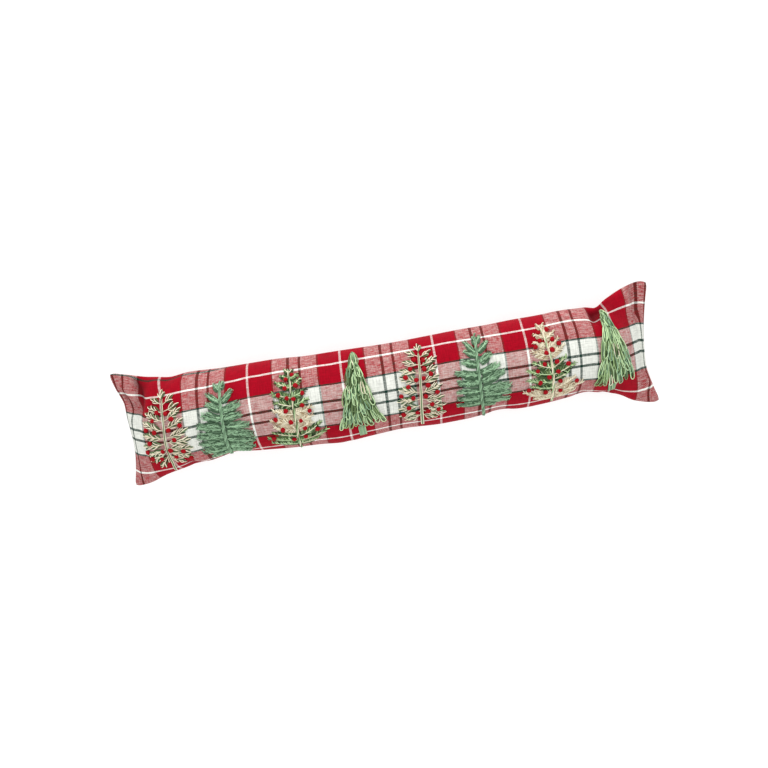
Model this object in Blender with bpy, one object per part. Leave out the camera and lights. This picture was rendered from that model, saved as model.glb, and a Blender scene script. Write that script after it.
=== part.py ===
"""A draught excluder: one long stuffed cushion with eight raised fir trees sewn on its face.

Units are metres and +Z is up. The cushion lies on its back with the decorated face up.
Its length runs along X and the tops of the trees point to +Y. The origin is on the
surface that it rests on, under the middle of the cushion.

Both panels of the cover are cut flat, as a grid of cloth points (u along the length,
v across it). Each point then goes where the filling pushes it, so a place on the cloth
is always named by its flat u and v, and the trees are laid on the face in the same way.
"""

import math

import bmesh
import bpy
import numpy as np
from mathutils import Matrix, Vector

# One panel from seam to seam, before the cover was stuffed.
PANEL_LENGTH = 0.900
PANEL_HEIGHT = 0.203
PANEL_COLUMNS = 80
PANEL_ROWS = 16
END_CROWDING = 0.12  # share by which the grid columns crowd towards the ends

# The stuffed cover.
SEAM_THICKNESS = 0.0024  # four layers of cloth in the knife edge
SEAM_LEVEL = 0.049  # height of the side seams above the surface
HALF_GIRTH = 0.1985  # the panel's height less what the puckers take up
LOFT_MAX = 0.0575  # the most that half the thickness can be
END_SEAM_REACH = 0.4185  # x of the end seams where the filling pulls them in most
END_SEAM_WAIST = -0.20  # where that is, as a share of half the panel's height
END_SEAM_BOW = 1.7  # how sharply the end seams turn out to the corners
END_CLOTH = 0.104  # cloth that climbs from an end seam to the full loft
END_RUN = 0.072  # how far that cloth gets along x
END_FULLNESS = 0.25  # how much rounder than a quarter sine the loft rises there

# The cloth is gathered along the side seams: (centre u, width, cloth taken up).
CLOTH_SHIFT = 0.006  # how far the side seams lie to +x of the cloth's own middle
CROWN_SHIFT = 0.004  # the same, along the crown
GATHERS = (
    (-0.300, 0.140, 0.007),
    (0.345, 0.080, 0.019),
)

# The outline seen from above: (x, y of the upper side seam, y of the lower one).
OUTLINE = (
    (-0.437, 0.0960, -0.0976),
    (-0.407, 0.0885, -0.0950),
    (-0.375, 0.0794, -0.0844),
    (-0.342, 0.0753, -0.0773),
    (-0.302, 0.0760, -0.0728),
    (-0.261, 0.0737, -0.0660),
    (-0.212, 0.0737, -0.0694),
    (-0.163, 0.0737, -0.0740),
    (-0.122, 0.0704, -0.0756),
    (-0.081, 0.0704, -0.0794),
    (-0.033, 0.0696, -0.0753),
    (0.016, 0.0688, -0.0720),
    (0.073, 0.0704, -0.0753),
    (0.122, 0.0720, -0.0740),
    (0.171, 0.0720, -0.0694),
    (0.212, 0.0737, -0.0714),
    (0.253, 0.0737, -0.0694),
    (0.293, 0.0753, -0.0655),
    (0.326, 0.0737, -0.0645),
    (0.349, 0.0724, -0.0716),
    (0.368, 0.0830, -0.0766),
    (0.391, 0.0950, -0.0895),
    (0.416, 0.1010, -0.0986),
    (0.437, 0.1010, -0.1003),
)

# The corners: (end, side, reach past the end of the side seam, height over the side seams).
CORNERS = (
    (-1, 1, 0.001, 0.004),
    (-1, -1, -0.003, -0.010),
    (1, 1, 0.002, -0.003),
    (1, -1, -0.001, -0.012),
)
CORNER_LENGTH = 0.080  # how far from the end seam a corner starts to bend

# The main creases: (panel, u and v of the deep end, u and v of the other, half width, depth).
CREASES = (
    ("face", 0.352, 0.100, 0.345, 0.052, 0.011, 0.0120),
    ("face", 0.372, 0.092, 0.398, 0.040, 0.016, 0.0060),
    ("face", -0.352, 0.098, -0.366, 0.056, 0.014, 0.0070),
    ("face", -0.392, 0.088, -0.404, 0.020, 0.013, 0.0060),
    ("face", -0.330, -0.098, -0.342, -0.066, 0.012, 0.0060),
    ("face", 0.352, -0.100, 0.372, -0.058, 0.013, 0.0080),
    ("face", -0.258, -0.100, -0.262, -0.070, 0.014, 0.0040),
    ("face", 0.168, -0.100, 0.166, -0.074, 0.014, 0.0035),
    ("face", -0.095, 0.100, -0.090, 0.074, 0.014, 0.0030),
    ("face", 0.306, -0.100, 0.300, -0.070, 0.013, 0.0045),
    ("back", 0.356, 0.098, 0.350, 0.056, 0.012, 0.0080),
    ("back", -0.350, 0.098, -0.360, 0.056, 0.013, 0.0070),
    ("back", -0.346, -0.098, -0.356, -0.058, 0.013, 0.0070),
    ("back", 0.352, -0.098, 0.362, -0.058, 0.013, 0.0070),
)
CREASE_FADE = 0.7  # share of its depth that a crease loses from its deep end to the other
RIM = 0.985  # share of the panel past which the seam holds the cloth, so that no crease bends it

# The sewn-on trees: (name, kind, u of the foot, v of the foot, v of the tip, width, how far the
# tip leans to +u, how far the trunk bows to +u halfway up).
TREES = (
    ("tree_1_sprigs", "sprigs", -0.358, -0.080, 0.069, 0.076, 0.000, -0.008),
    ("tree_2_feathers", "feathers", -0.270, -0.073, 0.064, 0.094, -0.002, 0.002),
    ("tree_3_boughs", "boughs", -0.157, -0.077, 0.067, 0.094, 0.000, 0.000),
    ("tree_4_fronds", "fronds", -0.052, -0.071, 0.080, 0.088, 0.002, 0.000),
    ("tree_5_sprigs", "sprigs", 0.042, -0.069, 0.074, 0.076, 0.013, 0.000),
    ("tree_6_feathers", "feathers", 0.144, -0.073, 0.079, 0.094, 0.005, 0.002),
    ("tree_7_boughs", "boughs", 0.253, -0.067, 0.068, 0.096, 0.002, 0.008),
    ("tree_8_fronds", "fronds", 0.356, -0.076, 0.084, 0.080, 0.002, 0.000),
)

# How the boughs of each kind grow: tiers up the trunk, angle of the lowest and of the highest
# bough above the horizontal, thickness of a bough, height of its crown over the cloth, width
# of the trunk.
KINDS = {
    "sprigs": (7, 8.0, 46.0, 0.0095, 0.0028, 0.0056),
    "feathers": (7, 2.0, 44.0, 0.0190, 0.0036, 0.0070),
    "boughs": (7, 6.0, 42.0, 0.0165, 0.0036, 0.0064),
}
# The rest are shares: of the tree's height where the first and the last boughs start and between
# the boughs of a pair, of the lowest bough's reach that the highest lacks, of its neighbours'
# reach that every second bough has, and of a bough's own size.
FOLIAGE_START = 0.12
FOLIAGE_END = 0.84
PAIR_STAGGER = 0.02
TAPER = 0.78
SHORT_TIER = 0.88
THINNING = 0.35  # how much thinner the highest bough is
BOUGH_ROOT = 0.08  # how far a bough's root lies past the middle of the trunk
BOUGH_BELLY = 0.30  # how far a bough's widest part lies towards its tip
TRUNK_ROOT = 0.05  # how far the trunk reaches below the foot
TRUNK_CROWN = 0.0042

# Rows of fronds, from the lowest: (share of the height at their tips, fronds, length as a share
# of the tree's height, height of their crowns over the cloth).
FROND_ROWS = (
    (0.10, 7, 0.46, 0.0030),
    (0.35, 6, 0.46, 0.0035),
    (0.60, 4, 0.41, 0.0040),
)
FROND_WIDTH = 0.0125
FROND_TAPER = 0.80  # share of the lowest row's spread that a row at the tip would lack
FROND_GATHER = 0.06  # the least spread of the fronds' upper ends, as a share of their tips'
FROND_RAGGED = 0.014  # how unevenly the tips of a row hang
FROND_TRUNK_WIDTH = 0.013
FROND_TRUNK_TOP = 0.34  # share of the height at which the trunk ends under the fronds
STRAND_SIDES = 4
STRAND_STEP = 0.018  # how far apart a strand is bent to follow the cloth
CLEARANCE = 0.0003  # between a tree and the cloth that it is sewn to

CLOTH_COLOUR = (0.52, 0.08, 0.10, 1.0)
CLOTH_ROUGHNESS = 0.9
YARN_ROUGHNESS = 0.75
GREENS = {
    "sprigs": (0.34, 0.42, 0.22, 1.0),
    "feathers": (0.09, 0.30, 0.17, 1.0),
    "boughs": (0.22, 0.33, 0.15, 1.0),
    "fronds": (0.27, 0.45, 0.21, 1.0),
}


def smoothstep(value, low, high):
    """0 below low and 1 above high, with a soft change between them."""
    share = min(1.0, max(0.0, (value - low) / (high - low)))
    return share * share * (3.0 - 2.0 * share)


def outline_at(x):
    """(y of the upper seam, y of the lower seam) at x, on a smooth curve through the table."""
    stations = [row[0] for row in OUTLINE]
    last = len(OUTLINE) - 2
    i = min(last, max(0, sum(1 for s in stations if s <= x) - 1))
    t = min(1.0, max(0.0, (x - stations[i]) / (stations[i + 1] - stations[i])))
    ys = []
    for column in (1, 2):
        before, here, after, beyond = (
            OUTLINE[min(len(OUTLINE) - 1, max(0, k))][column] for k in (i - 1, i, i + 1, i + 2)
        )
        ys.append(
            here
            + 0.5 * t * (after - before)
            + t * t * (before - 2.5 * here + 2.0 * after - 0.5 * beyond)
            + t * t * t * (1.5 * (here - after) + 0.5 * (beyond - before))
        )
    return ys


def seam_x(u):
    """Where a cloth point on a side seam lies along the cushion, once the seam is gathered."""
    x = u + CLOTH_SHIFT
    for centre, width, taken in GATHERS:
        passed = smoothstep(u, centre - width / 2, centre + width / 2)
        x += taken * (1.0 - passed) if centre < 0 else -taken * passed
    return x


def middle_x(u):
    """Where a cloth point halfway up the panel lies: near an end the cloth climbs as it runs."""
    cloth = PANEL_LENGTH / 2 - abs(u)
    if cloth < END_CLOTH:
        run = END_RUN * (1.0 - math.cos(math.pi / 2 * cloth / END_CLOTH))
    else:
        run = END_RUN + cloth - END_CLOTH
    climbing = math.copysign(END_SEAM_REACH - run, u)
    settled = smoothstep(cloth, END_CLOTH, 2.0 * END_CLOTH)
    return climbing + settled * (u + CROWN_SHIFT - climbing)


def girth_loft(half_width):
    """Half the thickness of an oval section of this half width that uses up the cover's girth."""
    low, high = 0.0, LOFT_MAX
    for _ in range(24):
        loft = (low + high) / 2
        spread = ((half_width - loft) / (half_width + loft)) ** 2
        around = math.pi * (half_width + loft) * (1 + 3 * spread / (10 + math.sqrt(4 - 3 * spread)))
        if around < 2 * HALF_GIRTH:
            low = loft
        else:
            high = loft
    return loft


def loft_at(u, half_width):
    """Half the thickness of the cushion at u. It falls to nothing at the end seams."""
    cloth = PANEL_LENGTH / 2 - abs(u)
    closing = math.sin(math.pi / 2 * min(1.0, cloth / END_CLOTH))
    return girth_loft(half_width) * min(1.0, closing + END_FULLNESS * closing * (1 - closing))


def oval_angle(half_width, loft, share):
    """The angle on an oval at which its arc, from the crown, is this share of a quarter's arc."""
    angles = np.linspace(0.0, math.pi / 2, 49)
    y = half_width * np.sin(angles)
    z = loft * np.cos(angles)
    arcs = np.concatenate([[0.0], np.cumsum(np.hypot(np.diff(y), np.diff(z)))])
    angle = float(np.interp(abs(share) * arcs[-1], arcs, angles))
    return math.copysign(angle, share)


def corner_pull(u, v):
    """(x, z) by which a cloth point near a corner is pulled out and bent up or down."""
    for end, side, reach, height in CORNERS:
        if end * u > 0 and side * v >= 0:
            near = smoothstep(abs(u), PANEL_LENGTH / 2 - CORNER_LENGTH, PANEL_LENGTH / 2)
            near *= (2 * v / PANEL_HEIGHT) ** 2
            return end * reach * near, height * near
    return 0.0, 0.0


def end_pull(v):
    """Share of the ends' drawing-in that reaches a cloth point: none of it at the corners."""
    from_waist = 2 * v / PANEL_HEIGHT - END_SEAM_WAIST
    to_corner = math.copysign(1.0, from_waist) - END_SEAM_WAIST
    return 1.0 - min(1.0, from_waist / to_corner) ** END_SEAM_BOW


def stuffed(u, v, side):
    """A cloth point of the face (side 1) or of the back (side -1), without the creases."""
    edge = seam_x(u)
    upper, lower = outline_at(edge)
    half_width = (upper - lower) / 2
    loft = loft_at(u, half_width)
    angle = oval_angle(half_width, loft, 2 * v / PANEL_HEIGHT)
    outward, upward = corner_pull(u, v)
    x = edge + (middle_x(u) - edge) * end_pull(v) + outward
    y = (upper + lower) / 2 + half_width * math.sin(angle)
    z = SEAM_LEVEL + upward + side * (SEAM_THICKNESS / 2 + loft * math.cos(angle))
    return Vector((x, y, z))


def face_normal(u, v, side):
    """The direction in which the panel looks at a cloth point."""
    step = 0.002
    limit_u = PANEL_LENGTH / 2 - step
    limit_v = PANEL_HEIGHT / 2 - step
    u = max(-limit_u, min(limit_u, u))
    v = max(-limit_v, min(limit_v, v))
    along = stuffed(u + step, v, side) - stuffed(u - step, v, side)
    across = stuffed(u, v + step, side) - stuffed(u, v - step, side)
    return (along.cross(across) * side).normalized()


def crease_depth(u, v, panel):
    """How far the creases pull a cloth point in."""
    depth = 0.0
    for where, u0, v0, u1, v1, half_width, deepest in CREASES:
        if where != panel:
            continue
        start, run = Vector((u0, v0)), Vector((u1 - u0, v1 - v0))
        offset = Vector((u, v)) - start
        along = min(1.0, max(0.0, offset.dot(run) / run.length_squared))
        away = (offset - run * along).length
        depth += deepest * (1.0 - CREASE_FADE * along * along) * math.exp(-((away / half_width) ** 2))
    return depth


def cloth_point(u, v, side, panel):
    """A point of the finished panel. The back is flat where it lies on the surface."""
    to_seam = max(abs(2 * u / PANEL_LENGTH), abs(2 * v / PANEL_HEIGHT))
    pull = crease_depth(u, v, panel) * (1.0 - smoothstep(to_seam, RIM, 1.0))
    point = stuffed(u, v, side) - face_normal(u, v, side) * pull
    point.z = max(0.0, point.z)
    return point


def new_object(name, mesh, collection):
    """An object for this mesh, in this collection."""
    obj = bpy.data.objects.new(name, mesh)
    collection.objects.link(obj)
    return obj


def new_material(name, colour, roughness):
    """A plain cloth or yarn material."""
    material = bpy.data.materials.new(name)
    material.use_nodes = True
    shader = material.node_tree.nodes["Principled BSDF"]
    shader.inputs["Base Color"].default_value = colour
    shader.inputs["Roughness"].default_value = roughness
    shader.inputs["Metallic"].default_value = 0.0
    return material


def add_panel(bm, side, panel):
    """One panel, cut flat as a grid and then pushed into shape by the filling."""
    made = bmesh.ops.create_grid(
        bm, x_segments=PANEL_COLUMNS, y_segments=PANEL_ROWS, size=1.0
    )["verts"]
    for vertex in made:
        along, across = vertex.co.x, vertex.co.y
        u = PANEL_LENGTH / 2 * along * (1 + END_CROWDING * (1 - along * along))
        vertex.co = cloth_point(u, PANEL_HEIGHT / 2 * across, side, panel)
    if side < 0:
        faces = {face for vertex in made for face in vertex.link_faces}
        bmesh.ops.reverse_faces(bm, faces=list(faces))


def make_cushion(collection):
    """The filled cover: face panel and back panel, joined all round by a knife-edge seam."""
    bm = bmesh.new()
    add_panel(bm, 1, "face")
    add_panel(bm, -1, "back")
    rims = [edge for edge in bm.edges if edge.is_boundary]
    bmesh.ops.bridge_loops(bm, edges=rims)
    bmesh.ops.triangulate(bm, faces=bm.faces)
    bmesh.ops.recalc_face_normals(bm, faces=bm.faces)
    mesh = bpy.data.meshes.new("cushion")
    bm.to_mesh(mesh)
    bm.free()
    mesh.shade_smooth()
    cushion = new_object("cushion", mesh, collection)
    mesh.materials.append(new_material("woven_check_cloth", CLOTH_COLOUR, CLOTH_ROUGHNESS))
    return cushion


def make_clearance(cushion, collection):
    """A copy of the cushion that stands a hair proud of it, which cuts the trees' undersides."""
    cutter = new_object("cushion_clearance", cushion.data.copy(), collection)
    swell = cutter.modifiers.new("swell", "DISPLACE")
    swell.direction = "NORMAL"
    swell.mid_level = 0.0
    swell.strength = CLEARANCE
    cutter.hide_render = True
    cutter.display_type = "WIRE"
    return cutter


def add_strand(bm, root, tip, width, crown, belly=0.0):
    """A pointed strand of stitching from root to tip, which are flat points on the cloth."""
    root, tip = Vector((*root, 0.0)), Vector((*tip, 0.0))
    run = tip - root
    turn = Matrix.Rotation(math.atan2(run.y, run.x), 4, "Z") @ Matrix.Rotation(math.pi / 2, 4, "Y")
    size = Matrix.Diagonal((crown, width / 2, run.length / 2, 1.0))
    strand = bmesh.ops.create_uvsphere(
        bm, u_segments=STRAND_SIDES, v_segments=4 + int(abs(run.y) / STRAND_STEP), radius=1.0
    )["verts"]
    for vertex in strand:
        vertex.co.z += belly * (1.0 - vertex.co.z**2)
    place = Matrix.Translation((root + tip) / 2) @ turn @ size
    bmesh.ops.transform(bm, matrix=place, verts=strand)


def grow_boughs(bm, kind, foot, height, width):
    """Boughs in pairs up a trunk, long and low at the foot and short and steep at the tip."""
    tiers, low_angle, high_angle, thickness, crown, trunk_width = KINDS[kind]
    below = foot - TRUNK_ROOT * height
    add_strand(bm, (0.0, below), (0.0, foot + height), trunk_width, TRUNK_CROWN)
    for tier in range(tiers):
        share = tier / (tiers - 1)
        rise = math.tan(math.radians(low_angle + (high_angle - low_angle) * share))
        reach = width / 2 * (1.0 - TAPER * share) * (SHORT_TIER if tier % 2 else 1.0)
        up = FOLIAGE_START + (FOLIAGE_END - FOLIAGE_START) * share
        for hand in (-1, 1):
            root_v = foot + height * (up + PAIR_STAGGER / 2 * hand)
            inner = (-hand * BOUGH_ROOT * reach, root_v - BOUGH_ROOT * reach * rise)
            tip = (hand * reach, root_v + reach * rise)
            add_strand(bm, inner, tip, thickness * (1.0 - THINNING * share), crown, BOUGH_BELLY)


def grow_fronds(bm, foot, height, width):
    """Long fronds that hang from the tip in overlapping rows, over a short block of trunk."""
    below, above = foot - TRUNK_ROOT * height, foot + FROND_TRUNK_TOP * height
    add_strand(bm, (0.0, below), (0.0, above), FROND_TRUNK_WIDTH, TRUNK_CROWN)
    for row, (low, count, length_share, crown) in enumerate(FROND_ROWS):
        spread = width / 2 * (1.0 - FROND_TAPER * low) - FROND_WIDTH / 3
        length = height * length_share
        for k in range(count):
            side = 2.0 * k / (count - 1) - 1.0
            ragged = FROND_RAGGED * ((k * 5 + row * 3) % 4) / 3
            tip_v = foot + height * low + ragged * (1 - abs(side))
            top_v = min(tip_v + length, foot + height)
            gathered = (foot + height - top_v) / height / (1.0 - low)
            top_u = side * spread * max(FROND_GATHER, gathered)
            tip = (side * spread, tip_v)
            add_strand(bm, (top_u, top_v), tip, FROND_WIDTH, crown, BOUGH_BELLY)


def keep_main_body(obj):
    """Applies the object's modifiers and drops the specks that its Boolean leaves."""
    bpy.context.view_layer.update()
    evaluated = obj.evaluated_get(bpy.context.evaluated_depsgraph_get())
    bm = bmesh.new()
    bm.from_mesh(bpy.data.meshes.new_from_object(evaluated))
    obj.modifiers.clear()
    bodies, left = [], set(bm.verts)
    while left:
        body, edge = set(), {left.pop()}
        while edge:
            body |= edge
            edge = {link.other_vert(vert) for vert in edge for link in vert.link_edges} - body
        bodies.append(body)
        left -= body
    main_body = max(bodies, key=len)
    specks = [vert for vert in bm.verts if vert not in main_body]
    bmesh.ops.delete(bm, geom=specks, context="VERTS")
    bm.to_mesh(obj.data)
    bm.free()


def make_tree(row, clearance, materials, collection):
    """One tree of raised stitching, bent over the face and cut to lie on it."""
    name, kind, foot_u, foot, tip, width, lean, bow = row
    bm = bmesh.new()
    if kind == "fronds":
        grow_fronds(bm, foot, tip - foot, width)
    else:
        grow_boughs(bm, kind, foot, tip - foot, width)
    for vertex in bm.verts:
        v, height = vertex.co.y, vertex.co.z
        share = (v - foot) / (tip - foot)
        u = foot_u + vertex.co.x + lean * share + bow * 4 * share * (1 - share)
        vertex.co = cloth_point(u, v, 1, "face") + face_normal(u, v, 1) * height
    mesh = bpy.data.meshes.new(name)
    bm.to_mesh(mesh)
    bm.free()
    tree = new_object(name, mesh, collection)
    mesh.materials.append(materials[kind])
    cut = tree.modifiers.new("underside", "BOOLEAN")
    cut.operation = "DIFFERENCE"
    cut.solver = "EXACT"
    cut.use_self = True
    cut.object = clearance
    keep_main_body(tree)
    return tree


def main():
    """Builds the draught excluder in an empty scene."""
    for obj in list(bpy.data.objects):
        bpy.data.objects.remove(obj, do_unlink=True)
    collections = {}
    for name in ("draught_excluder", "cutters"):
        collections[name] = bpy.data.collections.new(name)
        bpy.context.scene.collection.children.link(collections[name])
    cushion = make_cushion(collections["draught_excluder"])
    clearance = make_clearance(cushion, collections["cutters"])
    yarns = {}
    for kind, colour in GREENS.items():
        yarns[kind] = new_material(f"{kind}_yarn", colour, YARN_ROUGHNESS)
    for row in TREES:
        make_tree(row, clearance, yarns, collections["draught_excluder"])


main()
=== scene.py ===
"""The looks of a long stuffed draught excluder: a woven check cover with fir trees stitched on it.

Units are metres and +Z is up. The cushion lies on its back, with the tops of its trees to +Y.
A place on the cloth is named by its flat u, along the length, and v, across it, measured from
the middle of the panel before it was stuffed.
"""

import logging
import math
from dataclasses import dataclass, field
from enum import Enum
from typing import Any

import bmesh
import bpy
import numpy as np
from mathutils import Matrix, Vector


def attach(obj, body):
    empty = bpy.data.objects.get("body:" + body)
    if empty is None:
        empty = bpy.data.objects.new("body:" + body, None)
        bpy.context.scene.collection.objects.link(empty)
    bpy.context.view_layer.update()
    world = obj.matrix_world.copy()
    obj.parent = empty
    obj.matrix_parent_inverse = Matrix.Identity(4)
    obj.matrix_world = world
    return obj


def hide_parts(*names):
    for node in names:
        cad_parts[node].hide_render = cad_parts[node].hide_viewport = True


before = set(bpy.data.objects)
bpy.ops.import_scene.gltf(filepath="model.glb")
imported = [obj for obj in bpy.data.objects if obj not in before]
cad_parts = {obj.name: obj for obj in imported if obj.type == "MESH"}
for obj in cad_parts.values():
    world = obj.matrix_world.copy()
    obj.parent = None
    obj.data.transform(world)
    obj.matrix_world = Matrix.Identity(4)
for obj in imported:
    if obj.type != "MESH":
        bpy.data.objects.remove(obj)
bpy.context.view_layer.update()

log = logging.getLogger("draught_excluder")

BODY = "root"
CLOTH_UV = "cloth"
FOLD = "fold"
FLAT_UV = "flat"


def linear(code: str) -> tuple[float, float, float, float]:
    """The linear RGBA of an sRGB hex colour.

    Args:
        code: the colour as "#rrggbb".

    Returns:
        Red, green, blue and alpha for a shader's socket.
    """
    channels = [int(code[i : i + 2], 16) / 255 for i in (1, 3, 5)]
    bent = [c / 12.92 if c <= 0.04045 else ((c + 0.055) / 1.055) ** 2.4 for c in channels]
    return (bent[0], bent[1], bent[2], 1.0)


def add_node(tree: Any, kind: str, inputs: dict | None = None, **settings: Any) -> Any:
    """Adds one node with its settings, values and links.

    Args:
        tree: the node tree.
        kind: the node's type.
        inputs: for a socket's name or number, the value it holds or the socket it is linked to.
        settings: properties of the node.

    Returns:
        The new node.
    """
    made = tree.nodes.new(kind)
    for name, value in settings.items():
        setattr(made, name, value)
    for key, value in (inputs or {}).items():
        if isinstance(value, bpy.types.NodeSocket):
            tree.links.new(value, made.inputs[key])
        else:
            made.inputs[key].default_value = value
    return made


def paint_recess_shade(tree: Any, colour: Any, reach: float, strength: float) -> Any:
    """Adds the nodes that paint shade into a colour where the surface is closed in, as in a fold.

    Args:
        tree: the material's node tree.
        colour: the socket of the colour.
        reach: how far off the surroundings count, in metres.
        strength: how much painted shade a closed place gets, from 0 to 1.

    Returns:
        The socket of the colour with its painted shade.
    """
    openness = add_node(tree, "ShaderNodeAmbientOcclusion", {"Distance": reach}, samples=8)
    light = add_node(
        tree, "ShaderNodeMapRange", {"Value": openness.outputs["AO"], "To Min": 1.0 - strength}
    )
    made = add_node(
        tree, "ShaderNodeVectorMath", {0: colour, "Scale": light.outputs[0]}, operation="SCALE"
    )
    return made.outputs[0]


def smoothstep(value: np.ndarray, low: float, high: float) -> np.ndarray:
    """0 below low and 1 above high, with a soft change between them."""
    share = np.clip((value - low) / (high - low), 0.0, 1.0)
    return share * share * (3.0 - 2.0 * share)


@dataclass(frozen=True)
class Panel:
    """One of the cover's two panels, cut flat, from seam to seam."""

    length: float = 0.900
    height: float = 0.203
    columns: int = 180
    rows: int = 40
    end_crowding: float = 0.12
    corner_radius: float = 0.012

    @property
    def points(self) -> int:
        """How many points the panel's grid has."""
        return (self.columns + 1) * (self.rows + 1)

    def grid(self) -> tuple[np.ndarray, np.ndarray]:
        """The flat u and v of the panel's points, each as rows by columns."""
        along = np.linspace(-1.0, 1.0, self.columns + 1)
        across = np.linspace(-1.0, 1.0, self.rows + 1)
        u = self.length / 2 * along * (1 + self.end_crowding * (1 - along**2))
        v = self.height / 2 * across
        u, v = np.meshgrid(u, v)
        return self.rounded(u, v)

    def rounded(self, u: np.ndarray, v: np.ndarray) -> tuple[np.ndarray, np.ndarray]:
        """Draws the points of the square corners in onto a curve, as a sewn corner turns out."""
        past_u = np.abs(u) - (self.length / 2 - self.corner_radius)
        past_v = np.abs(v) - (self.height / 2 - self.corner_radius)
        there = (past_u > 0) & (past_v > 0)
        shrink = np.maximum(past_u, past_v) / np.maximum(np.hypot(past_u, past_v), 1e-9)
        drawn_u = np.sign(u) * (self.length / 2 - self.corner_radius + past_u * shrink)
        drawn_v = np.sign(v) * (self.height / 2 - self.corner_radius + past_v * shrink)
        return np.where(there, drawn_u, u), np.where(there, drawn_v, v)


@dataclass(frozen=True)
class StuffedForm:
    """Where the filling pushes each point of the cloth: the same rules as the solid's."""

    panel: Panel = Panel()
    seam_thickness: float = 0.0024
    seam_level: float = 0.049
    half_girth: float = 0.1985
    loft_max: float = 0.0575
    end_seam_reach: float = 0.4185
    end_seam_waist: float = -0.20
    end_seam_bow: float = 1.7
    end_cloth: float = 0.104
    end_run: float = 0.072
    end_fullness: float = 0.25
    cloth_shift: float = 0.006
    crown_shift: float = 0.004
    corner_length: float = 0.080
    crease_fade: float = 0.7
    rim: float = 0.985

    # centre u, width, cloth taken up
    gathers: tuple = ((-0.300, 0.140, 0.007), (0.345, 0.080, 0.019))

    # x, y of the upper side seam, y of the lower one
    outline: tuple = (
        (-0.437, 0.0978, -0.1000),
        (-0.407, 0.0900, -0.0965),
        (-0.375, 0.0794, -0.0844),
        (-0.342, 0.0753, -0.0773),
        (-0.302, 0.0760, -0.0728),
        (-0.261, 0.0737, -0.0660),
        (-0.212, 0.0737, -0.0694),
        (-0.163, 0.0737, -0.0740),
        (-0.122, 0.0704, -0.0756),
        (-0.081, 0.0704, -0.0794),
        (-0.033, 0.0696, -0.0753),
        (0.016, 0.0688, -0.0720),
        (0.073, 0.0704, -0.0753),
        (0.122, 0.0720, -0.0740),
        (0.171, 0.0720, -0.0694),
        (0.212, 0.0737, -0.0714),
        (0.253, 0.0737, -0.0694),
        (0.293, 0.0753, -0.0655),
        (0.326, 0.0737, -0.0645),
        (0.349, 0.0745, -0.0716),
        (0.368, 0.0830, -0.0766),
        (0.391, 0.0950, -0.0922),
        (0.416, 0.1024, -0.1016),
        (0.437, 0.1012, -0.1036),
    )

    # end, side, reach past the end of the side seam, height over the side seams
    corners: tuple = (
        (-1, 1, -0.0005, 0.004),
        (-1, -1, -0.002, -0.010),
        (1, 1, 0.002, -0.003),
        (1, -1, 0.003, -0.012),
    )

    # Where folds draw an end seam in: end, v of the middle, half width, depth
    dents: tuple = ((-1, 0.046, 0.018, 0.0040), (1, -0.040, 0.014, 0.0010))

    # side, u and v of the deep end, u and v of the other, half width, depth
    creases: tuple = (
        (1, 0.352, 0.100, 0.345, 0.052, 0.011, 0.0120),
        (1, 0.339, 0.100, 0.337, 0.060, 0.006, 0.0130),
        (1, 0.424, 0.100, 0.423, 0.038, 0.008, 0.0040),
        (1, -0.405, 0.092, -0.396, 0.036, 0.008, 0.0090),
        (1, -0.436, 0.060, -0.404, 0.030, 0.007, 0.0050),
        (1, 0.372, 0.092, 0.398, 0.040, 0.016, 0.0060),
        (1, -0.352, 0.098, -0.366, 0.056, 0.014, 0.0042),
        (1, -0.392, 0.088, -0.404, 0.020, 0.013, 0.0060),
        (1, -0.330, -0.098, -0.342, -0.066, 0.012, 0.0060),
        (1, 0.352, -0.100, 0.372, -0.058, 0.013, 0.0080),
        (1, -0.258, -0.100, -0.262, -0.070, 0.014, 0.0040),
        (1, 0.168, -0.100, 0.166, -0.074, 0.014, 0.0035),
        (1, -0.095, 0.100, -0.090, 0.074, 0.014, 0.0030),
        (1, 0.306, -0.100, 0.300, -0.070, 0.013, 0.0045),
        (-1, 0.356, 0.098, 0.350, 0.056, 0.012, 0.0080),
        (-1, -0.350, 0.098, -0.360, 0.056, 0.013, 0.0070),
        (-1, -0.346, -0.098, -0.356, -0.058, 0.013, 0.0070),
        (-1, 0.352, -0.098, 0.362, -0.058, 0.013, 0.0070),
    )

    def seam_ys(self, x: np.ndarray) -> tuple[np.ndarray, np.ndarray]:
        """The y of the upper and of the lower side seam at x, on a smooth curve."""
        table = np.array(self.outline)
        last = len(table) - 1
        i = np.clip(np.searchsorted(table[:, 0], x, side="right") - 1, 0, last - 1)
        t = np.clip((x - table[i, 0]) / (table[i + 1, 0] - table[i, 0]), 0.0, 1.0)
        ys = []
        for column in (1, 2):
            before, here, after, beyond = (
                table[np.clip(i + k, 0, last), column] for k in (-1, 0, 1, 2)
            )
            ys.append(
                here
                + 0.5 * t * (after - before)
                + t**2 * (before - 2.5 * here + 2.0 * after - 0.5 * beyond)
                + t**3 * (1.5 * (here - after) + 0.5 * (beyond - before))
            )
        return ys[0], ys[1]

    def seam_x(self, u: np.ndarray) -> np.ndarray:
        """Where a cloth point on a side seam lies along the cushion."""
        x = u + self.cloth_shift
        for centre, width, taken in self.gathers:
            passed = smoothstep(u, centre - width / 2, centre + width / 2)
            x = x + (taken * (1.0 - passed) if centre < 0 else -taken * passed)
        return x

    def middle_x(self, u: np.ndarray) -> np.ndarray:
        """Where a cloth point on the crown lies along the cushion."""
        cloth = self.panel.length / 2 - np.abs(u)
        climb = np.clip(cloth / self.end_cloth, 0.0, 1.0)
        run = self.end_run * (1.0 - np.cos(math.pi / 2 * climb))
        run = run + np.maximum(cloth - self.end_cloth, 0.0)
        climbing = np.sign(u) * (self.end_seam_reach - run)
        settled = smoothstep(cloth, self.end_cloth, 2.0 * self.end_cloth)
        return climbing + settled * (u + self.crown_shift - climbing)

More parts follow.
